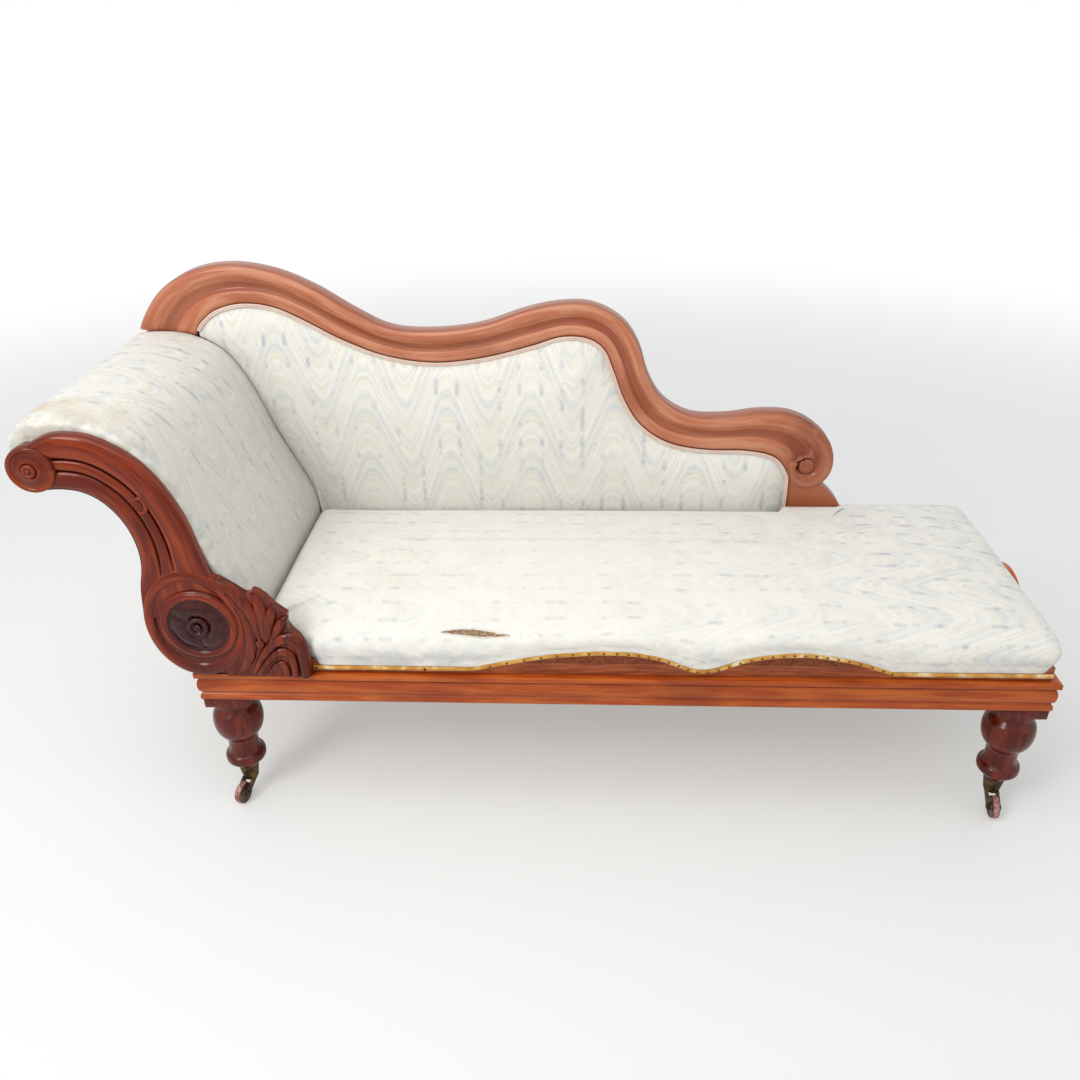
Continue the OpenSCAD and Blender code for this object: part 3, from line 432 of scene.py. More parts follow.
def turned(profile_points, steps=96):
    """A closed turning about Z through the origin, from points of radius and height in millimetres."""
    mesh = bmesh.new()
    line = [mesh.verts.new((r / 1000, 0, z / 1000)) for r, z in profile_points]
    edges = [mesh.edges.new((a, b)) for a, b in zip(line, line[1:])]
    bmesh.ops.spin(mesh, geom=line + edges, axis=(0, 0, 1), cent=(0, 0, 0), angle=2 * math.pi, steps=steps,
                   use_merge=True)
    bmesh.ops.remove_doubles(mesh, verts=mesh.verts, dist=0.00002)
    bmesh.ops.recalc_face_normals(mesh, faces=mesh.faces)
    return mesh


def smooth_line(points, steps):
    """Points on a smooth curve through the given ones."""
    line = []
    count = len(points)
    for i in range(count - 1):
        a, b, c, d = (Vector(points[k]) for k in (max(i - 1, 0), i, i + 1, min(i + 2, count - 1)))
        for k in range(steps):
            t = k / steps
            line.append(tuple((2 * b + (c - a) * t + (2 * a - 5 * b + 4 * c - d) * t * t
                               + (3 * b - a - 3 * c + d) * t * t * t) / 2))
    line.append(tuple(Vector(points[-1])))
    return line


leg_polish = polish("mahogany_leg", rgb(40, 9, 5), rgb(80, 20, 11), rgb(112, 38, 20), "z", 0.18)
leg_line = smooth_line([(33.6, 231.5), (32.9, 225), (33.4, 219.5), (37, 214.4), (42, 207.6), (45, 198.5),
                        (46, 188), (45, 176), (41.6, 164), (36, 154.5), (31, 148), (28.6, 141), (27.9, 131),
                        (28, 120.5), (29.4, 113.5), (31.5, 109.4)], 3)
leg_line += smooth_line([(33.6, 108.4), (36.6, 104.6), (37.5, 98), (36.4, 91.6), (33, 87.6), (28.4, 84.4)], 3)
leg_points = [(0, 238.0), (38.2, 238.0), (39, 237.3), (39, 230.6), (38.2, 229.8), (35.4, 229.6)]
leg_points += [(r, z) for r, z in leg_line if z < 229.5]
leg_points += [(23.6, 79.5), (21.9, 75.4), (21.6, 74.4), (17.8, 74.4), (13.4, 55), (0, 55)]
block_size = (0.08, 0.08, 0.0186)
block_middle = (0, 0, 0.2474)


def leg(name, x, y):
    mesh = turned(leg_points)
    block = bmesh.ops.create_cube(mesh, size=1)["verts"]
    bmesh.ops.scale(mesh, vec=block_size, verts=block)
    bmesh.ops.translate(mesh, vec=block_middle, verts=block)
    edges = {e for v in block for e in v.link_edges}
    bmesh.ops.bevel(mesh, geom=list(edges), offset=0.0012, segments=2, profile=0.5, affect="EDGES",
                    material=-1)
    bmesh.ops.translate(mesh, vec=at(x, y, 0), verts=mesh.verts)
    piece(name, mesh, leg_polish, "mahogany", name, smooth=38)


sites = {"front_left": (46, 46), "front_right": (1474, 46), "back_left": (46, 489), "back_right": (1474, 489)}
for which, (x, y) in sites.items():
    leg("leg_" + which, x, y)

# The castors: a tapered brass cup on the foot of each leg, and under it a swivelling brass horn with two
# flat arms and a riveted axle for the wheel.


def old_brass():
    made, tree = material("old_brass")
    place = here(tree)
    tarnish = specks(tree, place, 60, 4, 0.6)
    spots = specks(tree, place, 260, 3, 0.6)
    tone = blended(tree, tarnish.step(0.35, 0.7), rgb(58, 46, 30), rgb(118, 98, 58))
    tone = blended(tree, spots.step(0.58, 0.72) * 0.6, tone, rgb(50, 60, 44))
    dress(tree, Base_Color=tone, Metallic=0.85, Roughness=0.38 + tarnish * 0.25,
          Normal=bumped(tree, spots, 0.15, 0.0006))
    return made


brass = old_brass()
cup_points = [(4.1, 42), (14.3, 42), (14.9, 42.5), (15.2, 46), (20, 74), (20, 74.2), (19.2, 74.5),
              (18.2, 74.2), (13.4, 46), (4.1, 46), (4.1, 42)]
for which, (x, y) in sites.items():
    mesh = turned(cup_points, 64)
    bmesh.ops.translate(mesh, vec=at(x, y, 0), verts=mesh.verts)
    piece("cup_" + which, mesh, brass, "old_brass", "cup_" + which, smooth=35)
    finished("horn_" + which, brass)
    finished("axle_" + which, brass)

# The arm's carved front facing: one mahogany board, screwed to the front post, with three reeds and two
# quirks between them that run from the small scroll down to the lobe round the large roundel.

facing_width, facing_height = 218, 459.8
lobe_centre = (26, 429)
scroll_centre = (-178, 722)


def facing_line(shares, steps):
    """A smooth curve through shares of the facing's width and height, in millimetres."""
    return [(facing_width * x, rail_top + facing_height * z) for x, z in smooth_line(shares, steps)]


def even(line, count):
    """The same line as evenly spaced points."""
    lengths = [0.0]
    for (a, b), (c, d) in zip(line, line[1:]):
        lengths.append(lengths[-1] + math.hypot(c - a, d - b))
    points = []
    k = 0
    for i in range(count):
        want = lengths[-1] * i / (count - 1)
        while k < len(line) - 2 and lengths[k + 1] < want:
            k += 1
        t = (want - lengths[k]) / max(lengths[k + 1] - lengths[k], 1e-9)
        (ax, az), (bx, bz) = line[k], line[k + 1]
        points.append((ax + (bx - ax) * t, az + (bz - az) * t))
    return points


def ribbon(outer, inner, section, back):
    """A moulded board between two curves. The section gives shares of the width, and depths in mm."""
    rings = []
    behind = [(1.0, back - 2), (0.99, back), (0.01, back), (0.0, back - 2)]
    for i, ((ax, az), (bx, bz)) in enumerate(zip(outer, inner)):
        round_it = section(i / (len(outer) - 1)) + behind
        rings.append([at(ax + (bx - ax) * w, y, az + (bz - az) * w) for w, y in round_it])
    mesh = lofted(rings)
    bmesh.ops.recalc_face_normals(mesh, faces=mesh.faces)
    return mesh


def reeds(t):
    """Across the facing: a broad upper reed at the cushion, a narrow middle one and a lower one."""
    points = [(0.0, 3.0), (0.006, -1.0), (0.02, -4.2)]
    level = min(max((t - 0.66) / 0.26, 0), 1)
    level = level * level * (3 - 2 * level)
    for low, high, crown in ((0.02, 0.335, 5.6), (0.365, 0.545, 4.4), (0.575, 0.985, 6.6)):
        for k in range(9):
            turn = math.pi * (k + 0.5) / 9
            share = low + (high - low) * (1 - math.cos(turn)) / 2
            points.append((share, (-1.4 - crown * math.sin(turn) ** 0.8) * (1 - level) - 4.6 * level))
        if high < 0.9:
            points.append((high + 0.015, 0.8 * (1 - level) - 4.4 * level))
    points += [(0.994, -1.0), (1.0, 3.0)]
    return points


facing_outer_shares = [(-0.817, 0.789), (-0.64, 0.796), (-0.48, 0.783), (-0.345, 0.74), (-0.24, 0.665),
                       (-0.19, 0.578), (-0.193, 0.49), (-0.248, 0.387), (-0.28, 0.263)]
facing_inner_shares = [(-0.817, 0.963), (-0.64, 1), (-0.427, 0.998), (-0.27, 0.972), (-0.083, 0.913),
                       (0.037, 0.85), (0.124, 0.78), (0.216, 0.67), (0.28, 0.53), (0.33, 0.435), (0.40, 0.3)]
outer = even(facing_line(facing_outer_shares, 8), 90)
inner = even(facing_line(facing_inner_shares, 8), 90)
mahogany_run = polish("mahogany_run", rgb(42, 8, 2), rgb(102, 26, 6), rgb(146, 54, 13), "run", 0.18)
facing = ribbon(outer, inner, reeds, 15.7)


def ellipse_ring(centre, radii, section, steps=96):
    """A closed moulding round an ellipse; the section gives shares of the radii and depths in mm."""
    rings = []
    for i in range(steps):
        turn = 2 * math.pi * i / steps
        wide, high = radii[0] * math.cos(turn), radii[1] * math.sin(turn)
        rings.append([at(centre[0] + wide * r, y, centre[1] + high * r) for r, y in section])
    rings.append(rings[0])
    mesh = lofted(rings, capped=False)
    bmesh.ops.remove_doubles(mesh, verts=mesh.verts, dist=0.00002)
    bmesh.ops.recalc_face_normals(mesh, faces=mesh.faces)
    return mesh


def added(mesh, other):
    """Puts another bmesh into the first."""
    data = bpy.data.meshes.new("part")
    other.to_mesh(data)
    other.free()
    mesh.from_mesh(data)
    bpy.data.meshes.remove(data)


def flute(points, widths, crest, base, swell=0.5):
    """A carved flute along a curve: its half widths, and where its crest and its base lie, in mm."""
    line = smooth_line(points, 7)
    count = len(line)
    rings = []
    for i, (x, z) in enumerate(line):
        (ax, az), (bx, bz) = line[max(i - 1, 0)], line[min(i + 1, count - 1)]
        length = math.hypot(bx - ax, bz - az)
        side = ((bz - az) / length, -(bx - ax) / length)
        t = i / (count - 1) * (len(widths) - 1)
        k = min(int(t), len(widths) - 2)
        half = widths[k] + (widths[k + 1] - widths[k]) * (t - k)
        rise = (crest - base) * min(1, 0.3 + half / max(max(widths), 1))
        ring = []
        for n in range(-5, 6):
            w = n / 5
            y = base + rise * (1 - w * w) ** swell
            ring.append(at(x + side[0] * half * w, y, z + side[1] * half * w))
        ring += [at(x + side[0] * half * w, base + 4, z + side[1] * half * w) for w in (1, -1)]
        rings.append(ring)
    mesh = lofted(rings)
    bmesh.ops.recalc_face_normals(mesh, faces=mesh.faces)
    return mesh


def facing_front(mesh, centre):
    """Lays a turning on its side with its face to the front."""
    onto_side = Matrix.Rotation(math.radians(-90), 3, "X")
    bmesh.ops.rotate(mesh, cent=(0, 0, 0), matrix=onto_side, verts=mesh.verts)
    bmesh.ops.translate(mesh, vec=centre, verts=mesh.verts)
    return mesh


filler_line = [(24, 319.2), (70, 319.2), (70, 372), (30, 340)]
added(facing, sawn_board([at(x, 2.5, z) for x, z in filler_line], (0, 0.011, 0)))
scroll_curl = [(-27, 668), (-15, 672), (-8, 662), (-9, 650), (-17, 645), (-22, 651)]
lobe_section = [(0.62, 13), (0.62, -2.5), (0.66, -3.4), (0.735, -3.0), (0.76, -1.6)]
for k in range(9):
    turn = math.pi * (k + 0.5) / 9
    lobe_section.append((0.775 + 0.215 * (1 - math.cos(turn)) / 2, -1.5 - 5.4 * math.sin(turn) ** 0.8))
lobe_section += [(0.996, -0.6), (1.0, 3.5), (1.0, 13.6), (0.98, 13.8)]
added(facing, ellipse_ring(lobe_centre, (87, 110), lobe_section))
added(facing, flute(scroll_curl, (1.5, 4, 4.6, 4.2, 3.4, 1.5), -8.0, -3.5))
scroll_disc = turned([(0, 22), (39.2, 22), (40, 21), (40, 3.5), (39.4, 1.4), (37.8, 0.2), (35.5, 0), (0, 0)])
added(facing, facing_front(scroll_disc, at(scroll_centre[0], -6.3, scroll_centre[1])))
bmesh.ops.recalc_face_normals(facing, faces=facing.faces)
piece("arm_facing", facing, mahogany_run, "mahogany", "arm_facing", smooth=50)

# The two roundels, turned and then carved, each glued on. The large one is of a darker mahogany and sits in
# a turned rim; its flower has three petals round a button.


def roundel(name, centre, radius, section, petals, finish, slot, steps=144):
    """A turned boss: the section gives a share of the radius, a depth and how far petals are cut there."""
    rings = []
    for i in range(steps + 1):
        turn = 2 * math.pi * i / steps
        beat = abs(math.sin(petals * (turn + math.pi / 2) / 2)) if petals else 1.0
        rings.append([at(centre[0] + radius * r * math.cos(turn), y + cut * (1 - beat ** 0.5),
                         centre[1] + radius * r * math.sin(turn)) for r, y, cut in section])
    mesh = lofted(rings, closed=False, capped=False)
    bmesh.ops.remove_doubles(mesh, verts=mesh.verts, dist=0.00003)
    bmesh.ops.holes_fill(mesh, edges=mesh.edges)
    bmesh.ops.recalc_face_normals(mesh, faces=mesh.faces)
    piece(name, mesh, finish, slot, name, smooth=50)


patera_centre = (36, 429)
dark_polish = polish("mahogany_dark", rgb(20, 3, 4), rgb(50, 10, 11), rgb(76, 22, 22), "y", 0.12)
roundel("arm_patera", patera_centre, 70, [
    (0.78, -5.9, 0), (0.78, -8.8, 0), (0.765, -9.6, 0.2), (0.74, -8.4, 1.0), (0.7, -8.9, 2.2),
    (0.64, -11.2, 3.6), (0.56, -13.8, 4.6), (0.48, -15.0, 4.8), (0.4, -14.8, 4.2), (0.33, -13.4, 2.6),
    (0.29, -11.4, 0.8), (0.275, -11.0, 0), (0.268, -14.0, 0), (0.25, -16.4, 0), (0.21, -17.4, 0),
    (0.17, -16.6, 0), (0.15, -14.0, 0), (0.13, -12.4, 0), (0.11, -12.4, 0), (0.095, -15.0, 0),
    (0.07, -17.8, 0), (0.035, -19.2, 0), (0.0, -19.6, 0)],
    3, dark_polish, "dark_mahogany")
rim_section = [(0.77, -5.9), (0.77, -8.4), (0.785, -10.6), (0.82, -12.4), (0.87, -13.0), (0.92, -12.2),
               (0.955, -10.4), (0.965, -8.8), (0.98, -8.2), (0.995, -7.4), (1.0, -5.9)]
piece("patera_rim", ellipse_ring(patera_centre, (69, 69), rim_section), mahogany_run, "mahogany", smooth=50)
roundel("arm_roundel", scroll_centre, 39.2, [
    (1.0, -6.0, 0), (1.0, -7.4, 0), (0.985, -9.4, 0), (0.93, -10.8, 0), (0.86, -10.6, 0), (0.82, -9.0, 0),
    (0.79, -7.4, 0), (0.7, -7.8, 0), (0.58, -9.4, 0), (0.46, -11.6, 0), (0.38, -12.8, 0), (0.34, -12.4, 0),
    (0.32, -11.0, 0), (0.3, -13.4, 0), (0.27, -15.6, 0), (0.22, -16.6, 0), (0.17, -16.2, 0), (0.14, -14.4, 0),
    (0.11, -14.3, 0), (0.09, -15.8, 0), (0.05, -16.6, 0), (0.0, -16.8, 0)],
    0, mahogany_run, "mahogany")

# The crest: a mahogany rail sawn to two curves and moulded with an outer roll, a cove and an inner roll.
# It curls into a volute at its foot.

crest_length, crest_height = 1447, 579.7
crest_past_frame, crest_foot = 204, 345.3
crest_outer_shares = [
    (0, 0.729), (0.01, 0.805), (0.042, 0.907), (0.089, 0.976), (0.144, 1), (0.203, 0.978), (0.256, 0.922),
    (0.307, 0.843), (0.355, 0.784), (0.414, 0.772), (0.48, 0.791), (0.542, 0.841), (0.59, 0.864),
    (0.633, 0.859), (0.672, 0.807), (0.696, 0.724), (0.712, 0.607), (0.735, 0.519), (0.773, 0.466),
    (0.822, 0.46), (0.87, 0.476), (0.914, 0.469), (0.951, 0.422), (0.976, 0.345)]
crest_inner_shares = [
    (0.086, 0.729), (0.089, 0.776), (0.101, 0.816), (0.124, 0.853), (0.16, 0.872), (0.2, 0.859),
    (0.238, 0.816), (0.29, 0.745), (0.348, 0.688), (0.414, 0.664), (0.483, 0.681), (0.549, 0.722),
    (0.59, 0.753), (0.625, 0.748), (0.648, 0.71), (0.661, 0.638), (0.678, 0.526), (0.702, 0.434),
    (0.742, 0.367), (0.794, 0.34), (0.853, 0.336), (0.891, 0.316), (0.909, 0.276), (0.919, 0.219)]


def crest_line(shares):
    """A smooth curve through shares of the crest's length and height, in millimetres."""
    return [(crest_length * x - crest_past_frame, crest_foot + crest_height * z)
            for x, z in smooth_line(shares, 7)]


crest_section = [
    (0.0, 503), (0.012, 497), (0.035, 492.4), (0.07, 489.4), (0.12, 487.6), (0.18, 487.0), (0.24, 487.2),
    (0.3, 488.4), (0.345, 490.2), (0.362, 491.2), (0.372, 490.9), (0.40, 491.9), (0.44, 493.9),
    (0.49, 495.6), (0.54, 496.3), (0.59, 495.8), (0.625, 494.3), (0.645, 492.6), (0.652, 491.4),
    (0.664, 489.9), (0.70, 488.2), (0.76, 487.2), (0.83, 487.1), (0.9, 487.3), (0.96, 487.9),
    (0.99, 488.9), (1.0, 490.6)]
crest_outer = crest_line(crest_outer_shares)
crest_inner = crest_line(crest_inner_shares)
crest_cut, cut_slope = 781, 0.1


def crest_profile(t):
    """The crest's mouldings. Near its foot its two rolls sink under the volute's own."""
    near_foot = min(max((t - 0.93) / 0.055, 0), 1)
    outer_roll = [5.0 * min(max((0.40 - w) / 0.06, 0), 1) for w, y in crest_section]
    inner_roll = [9.0 * min(max((w - 0.62) / 0.04, 0), max((0.92 - w) / 0.14, 0), 1)
                  for w, y in crest_section]
    return [(w, y + near_foot * (a + b)) for (w, y), a, b in zip(crest_section, outer_roll, inner_roll)]


crest = ribbon(crest_outer, crest_inner, crest_profile, 529)
bmesh.ops.bisect_plane(crest, geom=crest.verts[:] + crest.edges[:] + crest.faces[:], dist=1e-6,
                       plane_co=at(0, 0, crest_cut), plane_no=(cut_slope, 0, 1), clear_inner=False)
low = [v for v in crest.verts
       if v.co.x < -0.7 and v.co.z < crest_cut / 1000 + cut_slope * (left_corner.x - v.co.x) - 1e-4]
bmesh.ops.delete(crest, geom=low, context="VERTS")
bmesh.ops.holes_fill(crest, edges=crest.edges)
foot_line = smooth_line([(1125.4, 490.5), (1125.2, 415), (1125.2, crest_foot)], 6)
foot_line += smooth_line([(1260.4, crest_foot), (1254, 382), (1243, 410), (1226, 434), (1204, 455)], 6)
added(crest, sawn_board([at(x, 490.5, z) for x, z in foot_line], (0, 0.0385, 0), 0.003))
eye = (1161, 503)
eye_reach = 20.6
spread = smooth_line([(-248, 36), (-225, 36), (-205, 39), (-190, 41), (-180, 42), (-165, 42.5), (-150, 44),
                      (-135, 46.5), (-120, 49), (-90, 51.5), (-60, 52.5), (-30, 53), (0, 54.2), (20, 57),
                      (42, 63.8), (62, 73.6), (84, 88), (98, 97), (112, 100)], 6)


def volute_reach(turn):
    """How far the volute's edge is from its eye at an angle, in degrees."""
    for (a, ra), (b, rb) in zip(spread, spread[1:]):
        if turn <= b:
            return ra + (rb - ra) * (turn - a) / (b - a)
    return spread[-1][1]


def volute_depth(turn, reach, r):
    """The volute's face: a broad roll that curls round a sunk ring and the eye's button."""
    across = (reach - 15 - r) / 15
    if r < 20.5:
        boss = max(0.0, 1 - (r / 16.5) ** 4)
        face = 494.5 - 6.2 * boss ** 0.5 + 1.6 * math.exp(-(r / 7) ** 4)
    elif across < 1:
        face = 493.5 - 6.3 * math.sqrt(max(0.0, 1 - across * across))
    else:
        face = 490 + 4.5 * math.exp(-((r - reach + 37) / 9) ** 2)
    hidden = min(max((-turn - 188) / 22, (turn - 80) / 26, 0), 1)
    return face + 9 * hidden * min(max((r - 20) / 6, 0), 1)


def volute_ring(turn):
    """The volute's surface from its back edge over the roll to the eye, at an angle."""
    reach = volute_reach(turn)
    radii = [reach - inward for inward in (0.5, 1.5, 3, 5, 8, 11, 15, 19, 22.5)]
    radii += [eye_reach + (reach - 25 - eye_reach) * share for share in (1.0, 0.85, 0.7, 0.55, 0.4, 0.2, 0.0)]
    radii += [18.5, 16.5, 16.0, 15.0, 12.5, 9.5, 7, 5, 2.5, 0.0]
    ring = [(reach - 1, 527), (reach, 525), (reach, 497)] + [(r, volute_depth(turn, reach, r)) for r in radii]
    across, upward = math.cos(math.radians(turn)), math.sin(math.radians(turn))
    return [at(eye[0] + r * across, y, eye[1] + r * upward) for r, y in ring]


volute = lofted([volute_ring(turn) for turn in range(112, -249, -2)], closed=False, capped=False)
bmesh.ops.remove_doubles(volute, verts=volute.verts, dist=0.00003)
bmesh.ops.holes_fill(volute, edges=volute.edges)
bmesh.ops.recalc_face_normals(volute, faces=volute.faces)
added(crest, volute)
bmesh.ops.recalc_face_normals(crest, faces=crest.faces)
# The crest's tones are lighter than the other mahogany's: its own colour with a painted reflection of the sky
# on its polish. Its shade function paints shade into the cove and darkens the crest towards the volute.
crest_polish = polish("mahogany_crest", rgb(130, 60, 38), rgb(188, 112, 80), rgb(208, 142, 110), "run", 0.26,
                      lambda x, y, z: (y.step(0.2325, 0.2375) * 0.55 + x.step(0.42, 0.52) * 0.3).clipped())
piece("crest_rail", crest, crest_polish, "mahogany", "crest_rail", smooth=50)

# The cloth: a cream flame-stitch weave, faded and a little soiled. Its points stand one above the other in
# columns, with short grey-blue stitches down the sides of each point.


def ramp(tree, share, stops):
    """A colour read from a row of stops."""
    made = tree.nodes.new("ShaderNodeValToRGB")
    stripe = made.color_ramp.elements
    stripe[0].position, stripe[0].color = stops[0]
    stripe[1].position, stripe[1].color = stops[-1]
    for place, colour in stops[1:-1]:
        stripe.new(place).color = colour
    tree.links.new(share.socket, made.inputs[0])
    return Val(tree, made.outputs[0])


column_gap = 0.168
band_gap = 0.131
step_width = 0.0036


def flame_stitch(name, ground, strength, shift=0.0, dash=0.5):
    """The weave on a cover: its ground, how strongly its bands show there, and how strong its dashes are."""
    made, tree = material(name)
    u, v = uvs(tree)
    place = here(tree)
    cloth = vector(tree, u, v, 0)
    u = u + (specks(tree, cloth, 7, 1) - 0.5) * 0.014 + shift
    v = v + (specks(tree, vector(tree, v, u, 3), 5, 1) - 0.5) * 0.012
    smooth_across = abs((u / column_gap).fract() - 0.5) * column_gap
    across = (smooth_across / step_width).floor() * step_width
    arch = across.low(0.0216)
    slope = (across.low(0.0624) - 0.0216).high(0.0)
    cup = 0.084 - across.high(0.0624)
    along = v + arch * arch * 60 + slope * 2.4 + 0.028 - cup * cup * 60
    along = along + (specks(tree, cloth, 320, 2, 0.7) - 0.5) * 0.005
    cream, white, warm = rgb(240, 237, 226), rgb(249, 247, 240), rgb(240, 232, 212)
    grey, blue, beige = rgb(219, 222, 220), rgb(208, 213, 216), rgb(229, 221, 205)
    bands = ramp(tree, (along / band_gap).fract(), [
        (0.0, cream), (0.07, grey), (0.15, blue), (0.21, cream), (0.28, white), (0.34, warm), (0.41, beige),
        (0.46, white), (0.53, grey), (0.60, cream), (0.66, white), (0.72, beige), (0.79, warm), (0.86, blue),
        (0.92, grey), (1.0, cream)])
    column = (abs(smooth_across - 0.0216)).low(abs(smooth_across - 0.0624))
    row = (smooth_across / 0.042).floor()
    broken = specks(tree, vector(tree, row * 5.3 + 1.7, v * 36, (u / column_gap).floor() * 0.37), 1, 2)
    dashes = (1 - column.step(0.0004, 0.0072)) * broken.step(0.46, 0.66)
    flick = specks(tree, vector(tree, across * 900, v * 70, 4), 1, 2)
    bloom = specks(tree, cloth, 15, 3, 0.6)
    amount = strength(*axes(tree, place)) if callable(strength) else strength
    shown = (amount * (0.2 + bloom.step(0.3, 0.66))).clipped()
    stripes = 1 - abs((along / 0.0131).fract() - 0.5).step(0.06, 0.3)
    tone = blended(tree, shown * 0.75, ground, bands)
    tone = blended(tree, (shown * stripes * 0.45).clipped(), tone, white)
    tone = blended(tree, (shown * flick.step(0.54, 0.74) * 0.25).clipped(), tone, rgb(186, 191, 196))
    tone = blended(tree, (dashes * (0.2 + shown * dash)).clipped(), tone, rgb(176, 182, 189))
    # Painted shade: the cloth goes greyer where ambient occlusion finds a corner or a crease.
    corner = node(tree, "ShaderNodeAmbientOcclusion", {"samples": 4}, {"Distance": 0.3}, "AO")
    tone = blended(tree, (1 - corner.step(0.3, 1.0)) * 0.3, tone, rgb(150, 150, 144))
    soil = specks(tree, place, 3.2, 3, 0.6)
    tone = blended(tree, soil.step(0.5, 0.8) * 0.35, tone, rgb(226, 218, 196))
    fleck = specks(tree, place, 46, 1)
    tone = blended(tree, fleck.step(0.79, 0.83) * 0.35, tone, rgb(150, 128, 100))
    weft = abs((v / 0.0016).fract() - 0.5)
    warp = abs((u / 0.0024).fract() - 0.5)
    thread = weft + warp * 0.6 + specks(tree, cloth, 600, 1) * 0.8
    slack = specks(tree, place, 26, 2, 0.5)
    dress(tree, Roughness=0.92, Sheen_Weight=0.25, Sheen_Roughness=0.5, Specular_IOR_Level=0.2,
          Normal=bumped(tree, thread * 0.0007 + slack * 0.006, 0.6, 1.0))
    return made, tree, tone


back_cloth, tree, tone = flame_stitch("flame_stitch_back", rgb(242, 239, 229), 0.85)
dress(tree, Base_Color=tone)
arm_cloth, tree, tone = flame_stitch("flame_stitch_arm", rgb(240, 237, 227), 0.75, 0.05, 0.62)
x, y, z = axes(tree, here(tree))
stain = 1 - ((x + 0.80) * (x + 0.80) * 30 + (y + 0.19) * (y + 0.19) * 260).step(0.05, 0.9)
stain = stain * z.step(0.76, 0.785)
tone = blended(tree, stain * specks(tree, here(tree), 16, 3).step(0.3, 0.7) * 0.55, tone, rgb(206, 180, 128))
# Painted shade: the inside face of the arm, below its roll, is painted greyer.
inside = (x + 0.72).step(0.0, 0.22) * (1 - z.step(0.70, 0.80))
tone = blended(tree, inside * 0.3, tone, rgb(176, 176, 170))
grime = (1 - (y + 0.2415).step(0.004, 0.05)) * specks(tree, here(tree), 38, 3).step(0.4, 0.62)
tone = blended(tree, grime * 0.4, tone, rgb(176, 172, 158))
dress(tree, Base_Color=tone)

# The covers are drawn tight over hair and wadding. Each is modelled with its wadding as one pad, swollen
# with Cloth while its tacked edges stay where they are.


def wrapped(rings, places):
    """A skin over closed rings of points with a place on the cloth for each point."""
    mesh = bmesh.new()
    uv = mesh.loops.layers.uv.new("UVMap")
    rows = [[mesh.verts.new(p) for p in ring] for ring in rings]
    count = len(rings[0])
    for i in range(len(rows) - 1):
        for j in range(count):
            k = (j + 1) % count
            face = mesh.faces.new((rows[i][j], rows[i][k], rows[i + 1][k], rows[i + 1][j]))
            spots = (places[i][j], places[i][k], places[i + 1][k], places[i + 1][j])
            for loop, spot in zip(face.loops, spots):
                loop[uv].uv = spot
    return mesh


def close_ends(mesh, count, half):
    """Closes the first and the last ring, each a strip between two lines of points."""
    mesh.verts.ensure_lookup_table()
    for first in (0, (count - 1) * 2 * half):
        for i in range(half - 1):
            mesh.faces.new([mesh.verts[first + k] for k in (i, i + 1, 2 * half - 2 - i, 2 * half - 1 - i)])


def stuffed(name, mesh, finish, replaced, freedom, cap, wrinkle):
    """A pad: freedom says how free each point is, from 0 to 1, and cap how far it may then move, in mm."""
    bmesh.ops.recalc_face_normals(mesh, faces=mesh.faces)
    made = piece(name, mesh, finish, "flame_stitch_fabric", *replaced, smooth=70)
    points = made.data.vertices
    rest = [v.co.copy() for v in points]
    free = [freedom(*measured(p)) for p in rest]
    tacked = made.vertex_groups.new(name="tacked")
    for v, share in zip(points, free):
        tacked.add([v.index], 1.0 - min(share * 3, 1.0), "REPLACE")
    swell = made.modifiers.new("swell", "CLOTH")
    swell.settings.quality = 4
    swell.settings.use_pressure = True
    swell.settings.uniform_pressure_force = 4
    swell.settings.vertex_group_mass = "tacked"
    swell.settings.effector_weights.gravity = 0
    swell.collision_settings.use_collision = False
    for number in range(1, 21):
        bpy.context.scene.frame_set(number)
    graph = bpy.context.evaluated_depsgraph_get()
    swollen = [v.co.copy() for v in made.evaluated_get(graph).data.vertices]
    made.modifiers.remove(swell)
    made.vertex_groups.clear()
    bpy.context.scene.frame_set(1)
    for v, start, end, share in zip(points, rest, swollen, free):
        move = end - start
        limit = cap * share / 1000
        if move.length > limit:
            move *= limit / move.length
        v.co = start + move
    normals = [v.normal.copy() for v in points]
    for v, start, normal in zip(points, rest, normals):
        v.co += normal * wrinkle(*measured(start)) / 1000
    finer = made.modifiers.new("finer", "SUBSURF")
    finer.levels = 1
    finer.render_levels = 1
    return made


def shifted(line, distance):
    """The line moved to its right by a distance."""
    moved = []
    for i, (x, z) in enumerate(line):
        (ax, az), (bx, bz) = line[max(i - 1, 0)], line[min(i + 1, len(line) - 1)]
        length = max(math.hypot(bx - ax, bz - az), 1e-9)
        moved.append((x + (bz - az) / length * distance, z - (bx - ax) / length * distance))
    return moved


# The arm's cover: it starts under the roll, goes over it and down the inside of the arm into the seat, and
# it is tacked behind the carved facing, where its edge puckers.

